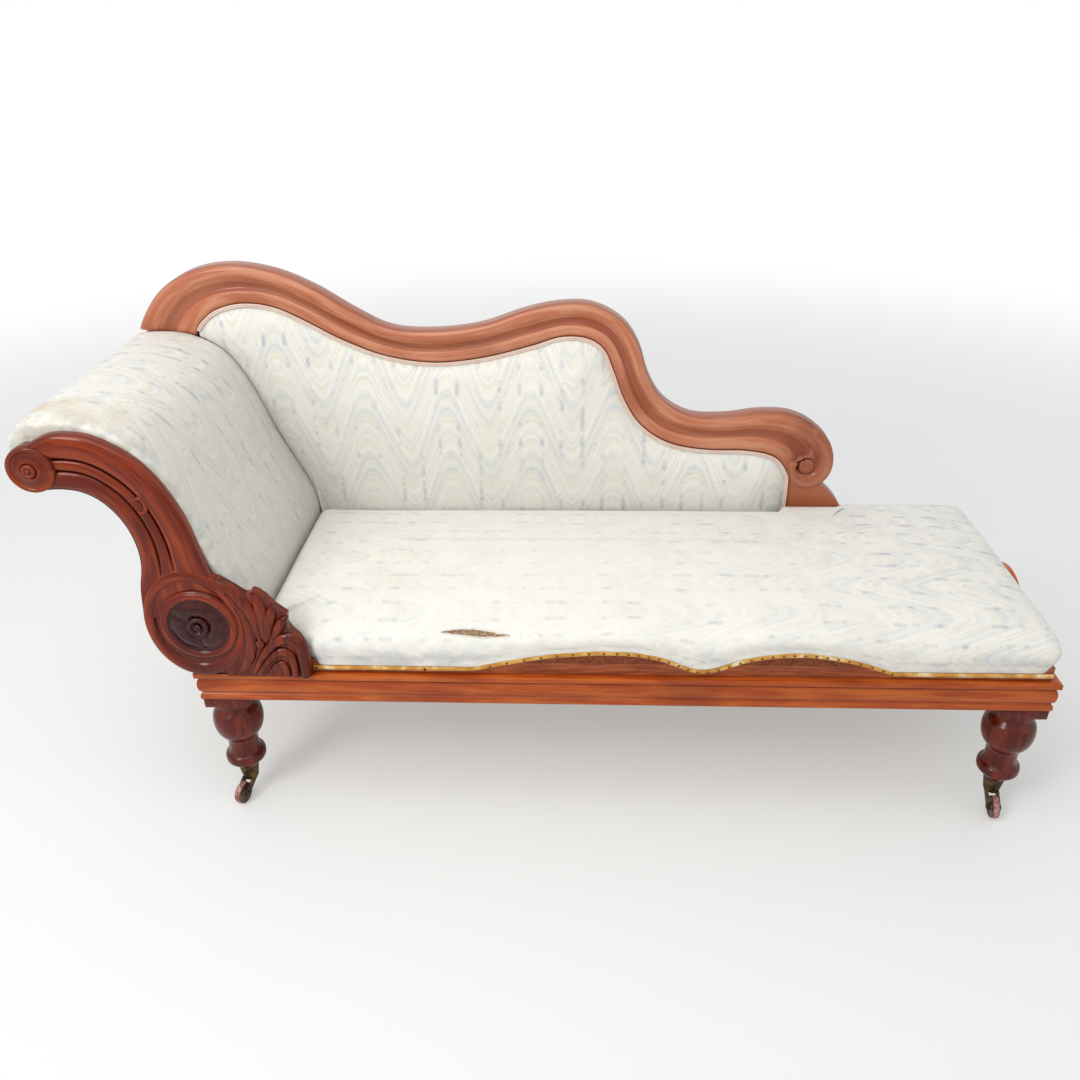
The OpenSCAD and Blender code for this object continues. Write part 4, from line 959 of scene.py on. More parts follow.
arm_reach, arm_height = 228, 453
wadding = 34
arm_face_shares = [(-0.52, 1), (-0.307, 0.974), (-0.096, 0.912), (0.044, 0.81), (0.149, 0.69), (0.241, 0.558),
                   (0.36, 0.42), (0.482, 0.289), (0.545, 0.188), (0.553, 0.1), (0.545, 0)]
roll_arc = [(-170 + 58 * math.cos(math.radians(turn)), 740 + 58 * math.sin(math.radians(turn)))
            for turn in range(285, 104, -15)]
arm_face = [(-170, 798)] + [(arm_reach * x, arm_height * z + 345) for x, z in arm_face_shares]
arm_line = even(smooth_line(roll_arc, 4) + smooth_line(arm_face, 8), 92)
arm_inner = even(shifted(arm_line, wadding), 92)
drawn_in = [(16, 12), (17.5, 8.6), (20, 6.0), (24, 4.2), (30, 2.6), (38, 1.2), (48, 0.4)]
drawn_in += [(58 + 7.6 * i, 0) for i in range(54)] + [(470, 0), (480, 0), (486.7, 0.2)]
run = [0.0]
for (ax, az), (bx, bz) in zip(arm_line, arm_line[1:]):
    run.append(run[-1] + math.hypot(bx - ax, bz - az) / 1000)
rings = []
places = []
for y, inset in drawn_in:
    outside = shifted(arm_line, inset + min(1, max(486.7 - y, 0) / 60))
    rings.append([at(x, y, z) for x, z in outside + arm_inner[::-1]])
    places.append([(y / 1000, r) for r in run + run[::-1]])
mesh = wrapped(rings, places)
close_ends(mesh, len(rings), len(arm_line))


def arm_freedom(x, y, z):
    near = min(min(math.hypot(x - a, z - b) for a, b in arm_line[::3]) / 12, 1)
    edges = min(max(y - 17, 0) / 45, max(470 - y, 0) / 40, 1)
    return max(edges, 0) * (1 - near) * min(max(z - 430, 0) / 60, 1) if z < 800 else edges * (1 - near)


def arm_wrinkle(x, y, z):
    at_edge = math.exp(-max(y - 16, 0) / 26)
    pucker = noise.noise(Vector((x / 15, z / 15, 2))) * 1.7 + noise.noise(Vector((x / 7, z / 7, 5))) * 0.6
    soft = noise.noise(Vector((x / 60, y / 45, z / 60))) * 0.9
    return pucker * at_edge + soft * min(max(y - 20, 0) / 30, 1)


stuffed("arm_cover", mesh, arm_cloth, ("arm_cover", "arm_stuffing"), arm_freedom, 4.5, arm_wrinkle)

# The back's cover: a shaped panel over the back's webbing and hair, flat under the gimp along its edge and
# softly crowned inside it, with its lower edge down between the seat, the arm and the back.

panel_top = [(x, z - 0.7) for x, z in crest_inner if -72.2 < x < 1122.6]
sill_line = [(x, z) for x, z in shifted(arm_line, -0.6) if x > -120 and z > 351]


def sill(x):
    """The panel's lower edge: the arm's outline at the left, then level."""
    best = 350.0
    for (ax, az), (bx, bz) in zip(sill_line, sill_line[1:]):
        if min(ax, bx) <= x <= max(ax, bx) and abs(bx - ax) > 1e-6:
            best = max(best, az + (bz - az) * (x - ax) / (bx - ax))
    return best


columns = even(panel_top, 168)
edge = even(panel_top, 700) + [(1122.4, z) for z in range(350, 471, 2)]
below = [(x, sill(x)) for x in range(-70, 1122, 2)] + [(columns[0][0], z) for z in range(786, 806, 2)]


def tree_of(points):
    """Finds the nearest of some points of the panel's plane."""
    found = kdtree.KDTree(len(points))
    for i, (x, z) in enumerate(points):
        found.insert((x, 0, z), i)
    found.balance()
    return found


nearest = tree_of(edge)
nearest_below = tree_of(below)
panel_face_end = 489


def panel_front(x, z):
    """How far forward the panel's face stands."""
    inside = nearest.find((x, 0, z))[2]
    above = nearest_below.find((x, 0, z))[2]
    return 487.2 - 23.4 * (1 - math.exp(-max(inside - 7.5, 0) / 26)) * (1 - math.exp(-(above + 5) / 13))


rings = []
places = []
shares = [0.0, 0.012, 0.03] + [0.055 + 0.89 * k / 40 for k in range(41)] + [0.97, 0.988, 1.0]
for x, top in columns:
    low = sill(x)
    front = [(x, low + (top - low) * share) for share in shares]
    rings.append([at(px, panel_front(px, pz), pz) for px, pz in front]
                 + [at(px, 490.2, pz) for px, pz in reversed(front)])
    places.append([(px / 1000, pz / 1000) for px, pz in front + front[::-1]])
mesh = wrapped(rings, places)
close_ends(mesh, len(rings), len(shares))


def back_freedom(x, y, z):
    inside = min(nearest.find((x, 0, z))[2] - 12, nearest_below.find((x, 0, z))[2] - 20)
    return 0.0 if y > panel_face_end else min(max(inside, 0) / 45, 1)


def back_wrinkle(x, y, z):
    if y > panel_face_end:
        return 0.0
    soft = noise.noise(Vector((x / 70, z / 110, 3))) * 1.4 + noise.noise(Vector((x / 30, z / 60, 8))) * 0.5
    return soft * back_freedom(x, y, z)


stuffed("back_cover", mesh, back_cloth, ("back_cover", "back_stuffing"), back_freedom, 4, back_wrinkle)

# The seat's cover: one cloth over the springs and hair, drawn down over its rolled edge and tacked to the
# rails. Along the front it has lifted in two scallops, and a tear there shows the hessian.

seat_left, seat_back, seat_top = 126.4, 462.8, 432
hem_low, hem_rise = 323.0, 38
scallop_shares = [(0.33, 0), (0.41, 0.72), (0.49, 1), (0.545, 0.72), (0.596, 0), (0.65, 0.72), (0.704, 1),
                  (0.76, 0.72), (0.814, 0)]
hem = smooth_line([(frame_length * x, hem_low + hem_rise * z) for x, z in scallop_shares], 8)


def hem_height(x):
    """The height of the tape's lower edge along the front rail."""
    for (ax, az), (bx, bz) in zip(hem, hem[1:]):
        if ax <= x <= bx:
            return az + (bz - az) * (x - ax) / max(bx - ax, 1e-9)
    return hem_low


def rounded_corner(x, y, start, radius=22):
    """A quarter of a circle round a point of the plan."""
    return [(x + radius * math.cos(math.radians(start + k)), y + radius * math.sin(math.radians(start + k)))
            for k in range(0, 91, 10)]


plan = [(seat_left, 300), (seat_left, 14.6), (216, 14.6), (219, 9), (224, 5.4)]
plan += rounded_corner(1493, 27, -90) + rounded_corner(1493, 513, 0)
plan += [(1264, 535), (1261, 530), (1261, 488), (1258, 486.8), (1129, 486.8), (1126, 484), (1124, 464),
         (1121, seat_back), (seat_left, seat_back), (seat_left, 300)]
plan = even(plan, 481)[:-1]
section_width = 152
section = even(smooth_line([(6.1, 0), (5.1, 13), (1.1, 32.7), (0, 49), (4, 63.2), (16, 76.3), (42.8, 87.2),
                            (96, 98.1), (section_width, 105)], 6), 30)
arc_length = [0.0]
for (a, b), (c, d) in zip(section[::-1], section[-2::-1]):
    arc_length.append(arc_length[-1] + math.hypot(c - a, d - b))
arc_length = arc_length[::-1]
low_of = [hem_height(x) + 9.4 if y < 12 else 332.4 for x, y in plan]
rings = []
places = []


def tucked(x, y):
    """True where the cover goes down between the seat and the arm or the back."""
    return x < 127 or (y > 455 and x < 1259)


def tightness(x, y):
    """How far the rounded edge reaches in: less where the cover is tucked, growing along the crest's foot."""
    if tucked(x, y):
        return 0.2
    if 1259 < x < 1265 and y > 486:
        return min(0.2 + (y - 486) / 38, 1)
    return 1.0


def toward(x, y, inset, crown=0.0):
    """A point of the plan moved in from the edge, and the middle that it moves to with its distance."""
    cx, cy = 330 + (x - seat_left) / 1388.6 * 960, 232 + (y - 5) / 530 * 68
    reach = max(abs(cx - x), abs(cy - y))
    narrow = min(abs(cx - x), abs(cy - y)) / reach
    share = min(inset * (1 + 0.3 * narrow ** 3) / reach, 0.9)
    if crown:
        share += (0.96 - share) * crown
    return x + (cx - x) * share, y + (cy - y) * share, (cx, cy, reach)


def seat_ring(inset, height, out, crown=0.0):
    """A ring of the seat's surface; out is how much further out it lies on the flat cloth."""
    ring = []
    spots = []
    for (x, y), low in zip(plan, low_of):
        tight = tightness(x, y)
        if inset > 96:
            tight += (1 - tight) * min((inset - 96) / 56, 1)
        px, py, (cx, cy, reach) = toward(x, y, inset * tight, crown)
        ring.append(at(px, py, low + (seat_top - low) * height / 109.0))
        spots.append(((py + (y - cy) / reach * out) / 1000, (px + (x - cx) / reach * out) / 1000))
    rings.append(ring)
    places.append(spots)


def under_ring(front_inset, back_inset, z):
    """A ring of the cover's hidden underside."""
    ring = []
    spots = []
    for x, y in plan:
        px, py, middle = toward(x, y, back_inset if tucked(x, y) else front_inset)
        ring.append(at(px, py, z))
        spots.append((py / 1000, px / 1000))
    rings.append(ring)
    places.append(spots)


for front_inset, back_inset, z in (
        (400, 400, 374.4), (120, 120, 374.4), (56, 6, 374.2), (31, 4, 347), (8.9, 2.5, 346.2)):
    under_ring(front_inset, back_inset, z)
rings.append([Vector((a.x, a.y, low / 1000)) for a, low in zip(rings[-1], low_of)])
places.append(places[-1])
for (inset, height), far in zip(section, arc_length):
    seat_ring(inset, height, far - (section_width - inset))
for crown, height in ((0.25, 106), (0.5, 107), (0.75, 107.8), (1.0, 108.3)):
    seat_ring(section_width, height, 0, crown)
mesh = wrapped(rings, places)


def closed_middle(mesh, ring, spots, first, steps=7):
    """Fills a long ring with a strip of quads that joins its two long sides."""
    uv = mesh.loops.layers.uv.active
    mesh.verts.ensure_lookup_table()
    corners = [mesh.verts[first + k] for k in range(len(ring))]
    last = len(ring) - 1
    lines = []
    for i in range(len(ring) // 2):
        a, b = ring[i], ring[last - i]
        line = [(corners[i], spots[i])]
        for k in range(1, steps):
            t = k / steps
            spot = [spots[i][n] * (1 - t) + spots[last - i][n] * t for n in (0, 1)]
            line.append((mesh.verts.new(a.lerp(b, t)), spot))
        lines.append(line + [(corners[last - i], spots[last - i])])
    for one, two in zip(lines, lines[1:]):
        for (a, b), (c, d) in zip(zip(one, one[1:]), zip(two, two[1:])):
            face = mesh.faces.new((a[0], b[0], d[0], c[0]))
            for loop, spot in zip(face.loops, (a[1], b[1], d[1], c[1])):
                loop[uv].uv = spot


closed_middle(mesh, rings[0], places[0], 0)
closed_middle(mesh, rings[-1], places[-1], (len(rings) - 1) * len(plan))
bmesh.ops.holes_fill(mesh, edges=mesh.edges, sides=8)


def seat_freedom(x, y, z):
    if z < 376 and not (y < 12 or x > 1506):
        return 0.0
    back = seat_back if x < 1124 else 486.8 if x < 1262 else 560
    left = seat_left if y > 20 else 100
    return min(max(z - 350, 0) / 40, max(back - y - 6, 0) / 50, max(x - left - 4, 0) / 40, 1)


def seat_wrinkle(x, y, z):
    soft = noise.noise(Vector((x / 90, y / 70, 1))) * 1.6 + noise.noise(Vector((x / 35, y / 35, 4))) * 0.5
    fold = 0.0
    if y < 60 and z < 425:
        down = min(max(425 - z, 0) / 40, 1)
        gather = noise.noise(Vector((x / 16, z / 60, 6))) * 1.3
        gather += noise.noise(Vector((x / 42, z / 40, 9))) * 2.0
        pull = math.exp(-((x - 906) / 120) ** 2) * math.sin((x - 906) / 11 + (z - 340) / 14) * 1.8
        fold = (gather + pull) * down
    if x > 1440:
        fold += noise.noise(Vector((y / 17, z / 50, 11))) * 1.5 * min(max(428 - z, 0) / 30, 1)
    return (soft + fold) * min(seat_freedom(x, y, z) * 1.5, 1)


def seat_strength(x, y, z):
    """How strongly the weave shows on the seat: less at the worn left part, more at the right end."""
    return 0.3 + x.step(0.15, 0.70) * 0.45 + (1 - z.step(0.37, 0.425)) * 0.15 + (1 - x.step(-0.5, 0.0)) * 0.15


seat_cloth, tree, tone = flame_stitch("flame_stitch_seat", rgb(250, 247, 237), seat_strength, 0.02, 0.55)
x, y, z = axes(tree, here(tree))
# Painted shade: grey-blue patches on the lower front of the seat's cover, where its folds hang.
skirt = (1 - y.step(-0.246, -0.20)) * (1 - z.step(0.35, 0.40))
skirt_fold_shade = specks(tree, vector(tree, x * 14, y, z * 30), 1, 3, 0.6)
tone = blended(tree, (skirt * skirt_fold_shade.step(0.42, 0.66)).clipped() * 0.55, tone, rgb(186, 190, 196))
dress(tree, Base_Color=tone)
seat_pad = stuffed("seat_cover", mesh, seat_cloth, ("seat_cover", "seat_stuffing"), seat_freedom, 5,
                   seat_wrinkle)

# The tear in the seat's front edge: the weave has parted and curled back over the brown hessian, and its
# broken threads stand out along both lips.


def thread_line(points, radius, sides=6):
    """A thin closed tube along points."""
    rings = []
    for i, p in enumerate(points):
        ahead = (points[min(i + 1, len(points) - 1)] - points[max(i - 1, 0)]).normalized()
        side = ahead.cross(Vector((0.1, 0.3, 1))).normalized()
        other = ahead.cross(side)
        size = radius(i / (len(points) - 1)) if callable(radius) else radius
        turns = [2 * math.pi * k / sides for k in range(sides)]
        rings.append([p + (side * math.cos(turn) + other * math.sin(turn)) * size for turn in turns])
    return lofted(rings)


skin = BVHTree.FromObject(seat_pad, bpy.context.evaluated_depsgraph_get())


def on_seat(x, z, proud):
    """The point of the seat's front that a level line from the front meets, stood proud of it."""
    spot, normal, index, far = skin.ray_cast(at(x, -80, z), Vector((0, 1, 0)))
    return spot + normal * proud / 1000


def tear_lip(t, upper):
    """A point of the tear's upper or lower lip, from its left end to its right."""
    ragged = noise.noise(Vector((t * 9, upper * 7, 3))) * 0.9
    return 449 + 121 * t, 401.5 + upper * (1 - abs(2 * t - 1) ** 1.5) * 3.6 - 1.6 * t + ragged * 0.8


tear = bmesh.new()
uv = tear.loops.layers.uv.new("UVMap")
knots = []
for i in range(41):
    (x, high), (x, low) = tear_lip(i / 40, 1), tear_lip(i / 40, -1)
    across = [(low + (high - low) * k / 6, 0.25 - 0.6 * math.sin(math.pi * k / 6)) for k in range(7)]
    knots.append([tear.verts.new(on_seat(x, z, proud)) for z, proud in across])
for i in range(40):
    for k in range(6):
        face = tear.faces.new((knots[i][k], knots[i + 1][k], knots[i + 1][k + 1], knots[i][k + 1]))
        for loop, (du, dv) in zip(face.loops, ((0, 0), (1, 0), (1, 1), (0, 1))):
            loop[uv].uv = ((i + du) * 0.003, (k + dv) * 0.003)
bmesh.ops.recalc_face_normals(tear, faces=tear.faces)
tear_area = sum(face.calc_area() for face in tear.faces)
bmesh.ops.solidify(tear, geom=tear.faces[:], thickness=0.0012)


def jute(name, dark, light):
    """Plain woven jute, its threads 1.6 mm apart, on UVs in metres."""
    made, tree = material(name)
    u, v = uvs(tree)
    place = here(tree)
    over = (u * 3900).sine() * (v * 3900).sine()
    fibre = specks(tree, place, 260, 3, 0.7)
    tone = blended(tree, fibre.step(0.3, 0.7), dark, light)
    tone = blended(tree, (over.step(0.1, 0.8) * 0.4).clipped(), tone, light)
    tone = blended(tree, specks(tree, place, 24, 3).step(0.5, 0.75) * 0.5, tone, dark)
    dress(tree, Base_Color=tone, Roughness=0.95, Sheen_Weight=0.15, Specular_IOR_Level=0.15,
          Normal=bumped(tree, over * 0.3 + fibre, 0.5, 0.0012))
    return made


brown_jute = jute("brown_jute", rgb(122, 92, 68), rgb(184, 152, 120))
pale_jute = jute("pale_jute", rgb(132, 106, 72), rgb(186, 160, 118))
patch = piece("tear_hessian", tear, brown_jute, "jute", smooth=60)
lip = bmesh.new()
for upper, thickness in ((1, 1.2), (-1, 0.8)):
    points = []
    for i in range(61):
        x, z = tear_lip(i / 60, upper)
        points.append(on_seat(x, z + upper * 0.5, 0.5))
    added(lip, thread_line(points, lambda t, k=thickness: (0.0009 + 0.0009 * math.sin(math.pi * t)) * k))
for i in range(9):
    upper = -1 if i % 2 else 1
    sideways = 1 if i % 3 else -1
    x, z = tear_lip(0.1 + 0.095 * i, upper)
    points = [on_seat(x + k * 1.3 * sideways, z - k * 0.9 * upper, 0.5 + 0.25 * k) for k in range(5)]
    added(lip, thread_line(points, 0.0004, 4))
cotton, tree = material("cotton_fray")
fuzz = specks(tree, here(tree), 420, 2)
dress(tree, Base_Color=blended(tree, fuzz.step(0.35, 0.65), rgb(214, 206, 188), rgb(246, 243, 234)),
      Roughness=0.95, Normal=bumped(tree, fuzz, 0.5, 0.001))
piece("tear_fray", lip, cotton, "flame_stitch_fabric", smooth=60)

# The leaf: an acanthus carved on a board beside the lobe, standing on the moulding. A flute sweeps round the
# large roundel, two leaves fold over its upper edge, and a rounded wave ends it at the right.

leaf_edge = [(65.5, 319.2), (65.5, 457), (70, 500), (76, 518), (80, 520), (92, 512), (108, 500), (122, 489),
             (129, 489), (137, 497), (146, 494), (157, 484), (168, 468), (181, 456), (190, 449), (188, 438),
             (187, 428), (194, 415), (205, 402), (212, 384), (213.4, 355), (213.4, 319.2)]
leaf = sawn_board([at(x, -4.5, z) for x, z in leaf_edge], (0, 0.018, 0))
for points, widths, crest_at in (
        ([(92, 492), (109, 466), (120, 432), (121, 396), (112, 360), (94, 330)],
         (3, 9, 11.5, 12, 11, 7), -9.5),
        ([(80, 517), (98, 502), (116, 480), (130, 450), (136, 420), (137, 398)],
         (3, 9.5, 13, 12, 9, 5), -11.5),
        ([(146, 396), (146, 430), (147, 462), (140, 494)], (5, 11, 14, 4), -11.0),
        ([(150, 396), (157, 430), (164, 452), (168, 470)], (5, 11, 12, 4), -12.4),
        ([(156, 394), (170, 420), (181, 437), (190, 448)], (5, 10.5, 10.5, 3.5), -11.6),
        ([(118, 330), (140, 368), (166, 396), (190, 402), (205, 384), (208, 352), (208, 322)],
         (5, 9, 12, 13, 12, 11, 9), -13.4),
        ([(124, 326), (146, 356), (168, 374), (185, 368), (190, 348), (190, 322)],
         (5, 8, 10, 10, 9, 8), -11.8),
        ([(142, 324), (156, 342), (169, 348), (175, 338), (176, 322)], (5, 7, 8, 7, 6), -10.2)):
    added(leaf, flute(points, widths, crest_at, -3.0, 0.72))
knob_points = [(0, 10), (7.4, 10), (8, 8.6), (8, 4.6), (6.6, 2.4), (4.4, 1.6), (3.2, 2.4), (2.2, 1.2),
               (0, 0.9)]
added(leaf, facing_front(turned(knob_points, 32), at(137, -12.8, 392)))
leaf_polish = polish("mahogany_leaf", rgb(36, 7, 2), rgb(86, 21, 5), rgb(128, 44, 11), "z", 0.16)
piece("arm_leaf", leaf, leaf_polish, "mahogany", "arm_leaf", smooth=50)

# The gimp: a double cord of pinkish cream, glued over the cover's tacked edge along the crest's inner side
# and down the panel's right end to the seat.

cord_path = [(x, z) for x, z in crest_inner if z > 789 - 0.1 * x or -60 < x < 1119]
cord_path += [(1123.4, 482), (1124.6, 468), (1125, 440), (1125, 402)]
cord_path = even(smooth_line(cord_path, 2), 420)
cord = bmesh.new()
for out, lift in ((0.8, 0.0), (4.4, 0.4)):
    line = [at(x, 484.9 + lift, z) for x, z in shifted(cord_path, out)]
    added(cord, thread_line(line, 0.0019, 8))
gimp_cord, tree = material("gimp_cord")
u, v = uvs(tree)
twist = (u * 1500 + v * 900).sine()
faded = specks(tree, here(tree), 22, 2)
tone = blended(tree, twist.step(-0.6, 0.9), rgb(226, 186, 166), rgb(248, 226, 212))
tone = blended(tree, faded.step(0.4, 0.7) * 0.5, tone, rgb(244, 236, 222))
dress(tree, Base_Color=tone, Roughness=0.85, Sheen_Weight=0.2, Normal=bumped(tree, twist, 0.5, 0.0009))
piece("back_gimp", cord, gimp_cord, "gimp_braid", "back_gimp", smooth=70)

# The ochre tape that once hid the cover's edge: a narrow woven tape, nailed along the front with small iron
# tacks and glued along the foot on both sides of the arched board.


def tape_band(step):
    """The tape across its width: how far in each point lies and how high, with the curl of its edges."""
    curl = 0.4 * noise.noise(Vector((step / 14, 1, 5)))
    return [(13.6, 0), (12.5, 0.1), (11.6 + curl, 1.2), (11.2 + curl, 4.5), (11.5 + curl, 7.6), (12.5, 8.7),
            (13.6, 8.8)]


foot_tape_low = 323.2
tape = bmesh.new()
rings = []
for x in range(218, 1507, 4):
    low = hem_height(x) + 0.2 + noise.noise(Vector((x / 60, 3, 1))) * 0.5
    rings.append([at(x, y, low + z) for y, z in tape_band(x)])
added(tape, lofted(rings))
flat_band = [(13.6, 0), (12.5, 0.1), (12.2, 1.2), (12.2, 7.6), (12.5, 8.7), (13.6, 8.8)]
added(tape, lofted([[at(frame_length - inward, y, foot_tape_low + z) for inward, z in flat_band]
                    for y in range(16, 174, 6)]))
added(tape, lofted([[at(frame_length - inward, y, foot_tape_low + z) for inward, z in tape_band(y)]
                    for y in range(364, 529, 4)]))
bmesh.ops.recalc_face_normals(tape, faces=tape.faces)
tape_cloth, tree = material("ochre_tape")
x, y, z = axes(tree, here(tree))
patchy = specks(tree, here(tree), 24, 3, 0.6)
fibre = specks(tree, vector(tree, x * 0.3, y, z), 500, 2)
tone = blended(tree, patchy.step(0.35, 0.6), rgb(196, 132, 44), rgb(222, 172, 82))
tone = blended(tree, patchy.step(0.54, 0.64) * 0.8, tone, rgb(242, 226, 186))
tone = blended(tree, fibre.step(0.55, 0.8) * 0.4, tone, rgb(150, 96, 34))
dress(tree, Base_Color=tone, Roughness=0.8, Sheen_Weight=0.2, Normal=bumped(tree, fibre, 0.5, 0.0008))
piece("seat_tape", tape, tape_cloth, "ochre_tape", "seat_tape", smooth=60)
tack_iron, tree = material("tack_iron")
rust = specks(tree, here(tree), 180, 3)
tone = blended(tree, rust.step(0.4, 0.65), rgb(38, 30, 26), rgb(92, 58, 40))
tone = blended(tree, axes(tree, here(tree))[0].step(-0.18, -0.12) * 0.8, tone, rgb(150, 100, 40))
dress(tree, Base_Color=tone, Metallic=0.5, Roughness=0.45 + rust * 0.3,
      Normal=bumped(tree, rust, 0.3, 0.0006))
finished("seat_tacks", tack_iron)

# Where the front has lifted, the edge of the hessian shows over the raw rail, both stained by the old
# polish. The arm's front post, seen beside the leaf, has the same stain.

hessian_low = 343.2
rings = []
for x in range(500, 1241, 4):
    top = max(hem_height(x) + 6.5, 344.6) + noise.noise(Vector((x / 9, 1, 2))) * 0.7
    buckle = noise.noise(Vector((x / 25, 4, 2))) * 0.3
    rings.append([at(x, 13.3, hessian_low), at(x, 13.0 + buckle, (hessian_low + top) / 2), at(x, 13.2, top)])
edge_cloth = lofted(rings, closed=False, capped=False)
bmesh.ops.recalc_face_normals(edge_cloth, faces=edge_cloth.faces)
bmesh.ops.solidify(edge_cloth, geom=edge_cloth.faces[:], thickness=0.0005)
red_jute = jute("stained_jute", rgb(84, 40, 22), rgb(150, 80, 48))
hem_cloth = piece("hessian_edge", edge_cloth, red_jute, "jute", smooth=60)
stained, tree = material("stained_rail")
x, y, z = axes(tree, here(tree))
grain = specks(tree, vector(tree, x * 5, y * 60, z * 60), 3, 4, 0.6)
pits = specks(tree, vector(tree, x, y, z * 1.6), 150, 3, 0.7)
tone = blended(tree, grain.step(0.35, 0.7), rgb(128, 58, 30), rgb(176, 92, 50))
tone = blended(tree, pits.step(0.6, 0.7) * 0.8, tone, rgb(62, 28, 18))
dress(tree, Base_Color=tone, Roughness=0.7, Normal=bumped(tree, grain - pits * 0.5, 0.4, 0.002))
finished("front_rail", stained)
finished("arm_front_post", stained)

# The outside cloths: the same weave, tacked over the outside of the arm from its top rail to the frame, and
# over the back from the crest down to its bottom rail.


def shell(mesh, thickness):
    """Gives an open sheet its thickness, behind its face."""
    bmesh.ops.recalc_face_normals(mesh, faces=mesh.faces)
    bmesh.ops.solidify(mesh, geom=mesh.faces[:], thickness=thickness / 1000)
    bmesh.ops.recalc_face_normals(mesh, faces=mesh.faces)
    return mesh


def flat_area(mesh):
    return sum(face.calc_area() for face in mesh.faces)


under_roll = math.radians(287)
tip = (-170 + 53.6 * math.cos(under_roll), 740 + 53.6 * math.sin(under_roll))
post_shares = [(-0.64, 0.796), (-0.48, 0.783), (-0.345, 0.74), (-0.24, 0.665), (-0.19, 0.578), (-0.193, 0.49),
               (-0.21, 0.4), (-0.2, 0.29), (-0.11, 0.17)]
post_line = [(facing_width * x, rail_top + facing_height * z) for x, z in post_shares]
post_line = smooth_line([tip] + post_line + [(14, 345.6)], 6)
post_line = [(x, z) for x, z in even(post_line, 70) if z >= 345.5]
rings = []
for k in range(45):
    y = 46.6 + 439.8 * k / 44
    rings.append([at(x + 0.3 + noise.noise(Vector((x / 50, y / 50, z / 50))) * 0.5, y, z)
                  for x, z in post_line])
mesh = lofted(rings, closed=False, capped=False)
span = flat_area(mesh)
outside_cloth, tree, tone = flame_stitch("flame_stitch_outside", rgb(236, 233, 224), 0.75, 0.08)
dress(tree, Base_Color=tone)
cloth = piece("arm_outside", shell(mesh, 1.5), outside_cloth, "flame_stitch_fabric", "arm_outside", smooth=60)
span / 0.4398 * 1.001
rings = []
for x, top in columns:
    low = sill(x)
    rings.append([at(x, 527.0 + noise.noise(Vector((x / 90, k / 4, 7))) * 0.2, low + (top - low) * k / 14)
                  for k in range(15)])
mesh = lofted(rings, closed=False, capped=False)
span = flat_area(mesh)
cloth = piece("back_outside", shell(mesh, 1.2), outside_cloth, "flame_stitch_fabric", "back_outside",
              smooth=60)

# Under the seat: the bottoming cloth, the woven jute webs, the springs laced to them and the hessian over
# the springs. The webs pass over and under one another; the hessian dips between the springs.

mesh = bmesh.new()
uv = mesh.loops.layers.uv.new("UVMap")
steps_x = [20, 92.4] + [92.4 + 1335.2 * k / 60 for k in range(1, 60)] + [1427.6, 1500]
steps_y = [20, 92.4] + [92.4 + 350.2 * k / 20 for k in range(1, 20)] + [442.6, 529]
cells = {}
for i, x in enumerate(steps_x):
    for j, y in enumerate(steps_y):
        sag = 1.1 * math.sin(math.pi * i / (len(steps_x) - 1)) * math.sin(math.pi * j / (len(steps_y) - 1))
        cells[i, j] = mesh.verts.new(at(x, y, 254.2 - sag))
for i in range(len(steps_x) - 1):
    for j in range(len(steps_y) - 1):
        if i in (0, len(steps_x) - 2) and j in (0, len(steps_y) - 2):
            continue
        face = mesh.faces.new((cells[i, j], cells[i + 1, j], cells[i + 1, j + 1], cells[i, j + 1]))
        for loop in face.loops:
            loop[uv].uv = (loop.vert.co.x, loop.vert.co.y)
bmesh.ops.delete(mesh, geom=[v for v in mesh.verts if not v.link_faces], context="VERTS")
span = flat_area(mesh)
cloth = piece("bottom_cloth", shell(mesh, 1.2), pale_jute, "jute", "bottom_cloth", smooth=60)

webs = bmesh.new()
uv = webs.loops.layers.uv.new("UVMap")
web_edge = 117
web_x = [web_edge + (frame_length - 2 * web_edge) * k / 10 for k in range(11)]
web_y = [web_edge + (frame_depth - 2 * web_edge) * k / 3 for k in range(4)]


def web(start, end, across, level, count=90):
    """One web 50 mm wide; level gives its height along it."""
    rows = []
    for k in range(count + 1):
        middle = start.lerp(end, k / count)
        rise = Vector((0, 0, level(middle)))
        rows.append([webs.verts.new(middle + across * w + rise) for w in (-0.025, 0, 0.025)])
    for k, (a, b) in enumerate(zip(rows, rows[1:])):
        for n in (0, 1):
            face = webs.faces.new((a[n], b[n], b[n + 1], a[n + 1]))
            for loop, (du, dv) in zip(face.loops, ((0, 0), (1, 0), (1, 1), (0, 1))):
                loop[uv].uv = ((k + du) * (end - start).length / count, (n + dv) * 0.025)


for i, x in enumerate(web_x):
    web(at(x, 33, 0), at(x, 502, 0), Vector((1, 0, 0)), lambda p, i=i: 0.2558 + 0.0006 * math.cos(
        math.pi * ((p.y * 1000 + corner_y - web_edge) / 100.33 + i)))
for j, y in enumerate(web_y):
    web(at(33, y, 0), at(1487, y, 0), Vector((0, 1, 0)), lambda p, j=j: 0.2558 - 0.0006 * math.cos(
        math.pi * ((p.x * 1000 + corner_x - web_edge) / 128.6 + j)))
span = flat_area(webs)
cloth = piece("seat_webbing", shell(webs, 0.5), pale_jute, "jute", "seat_webbing", smooth=60)

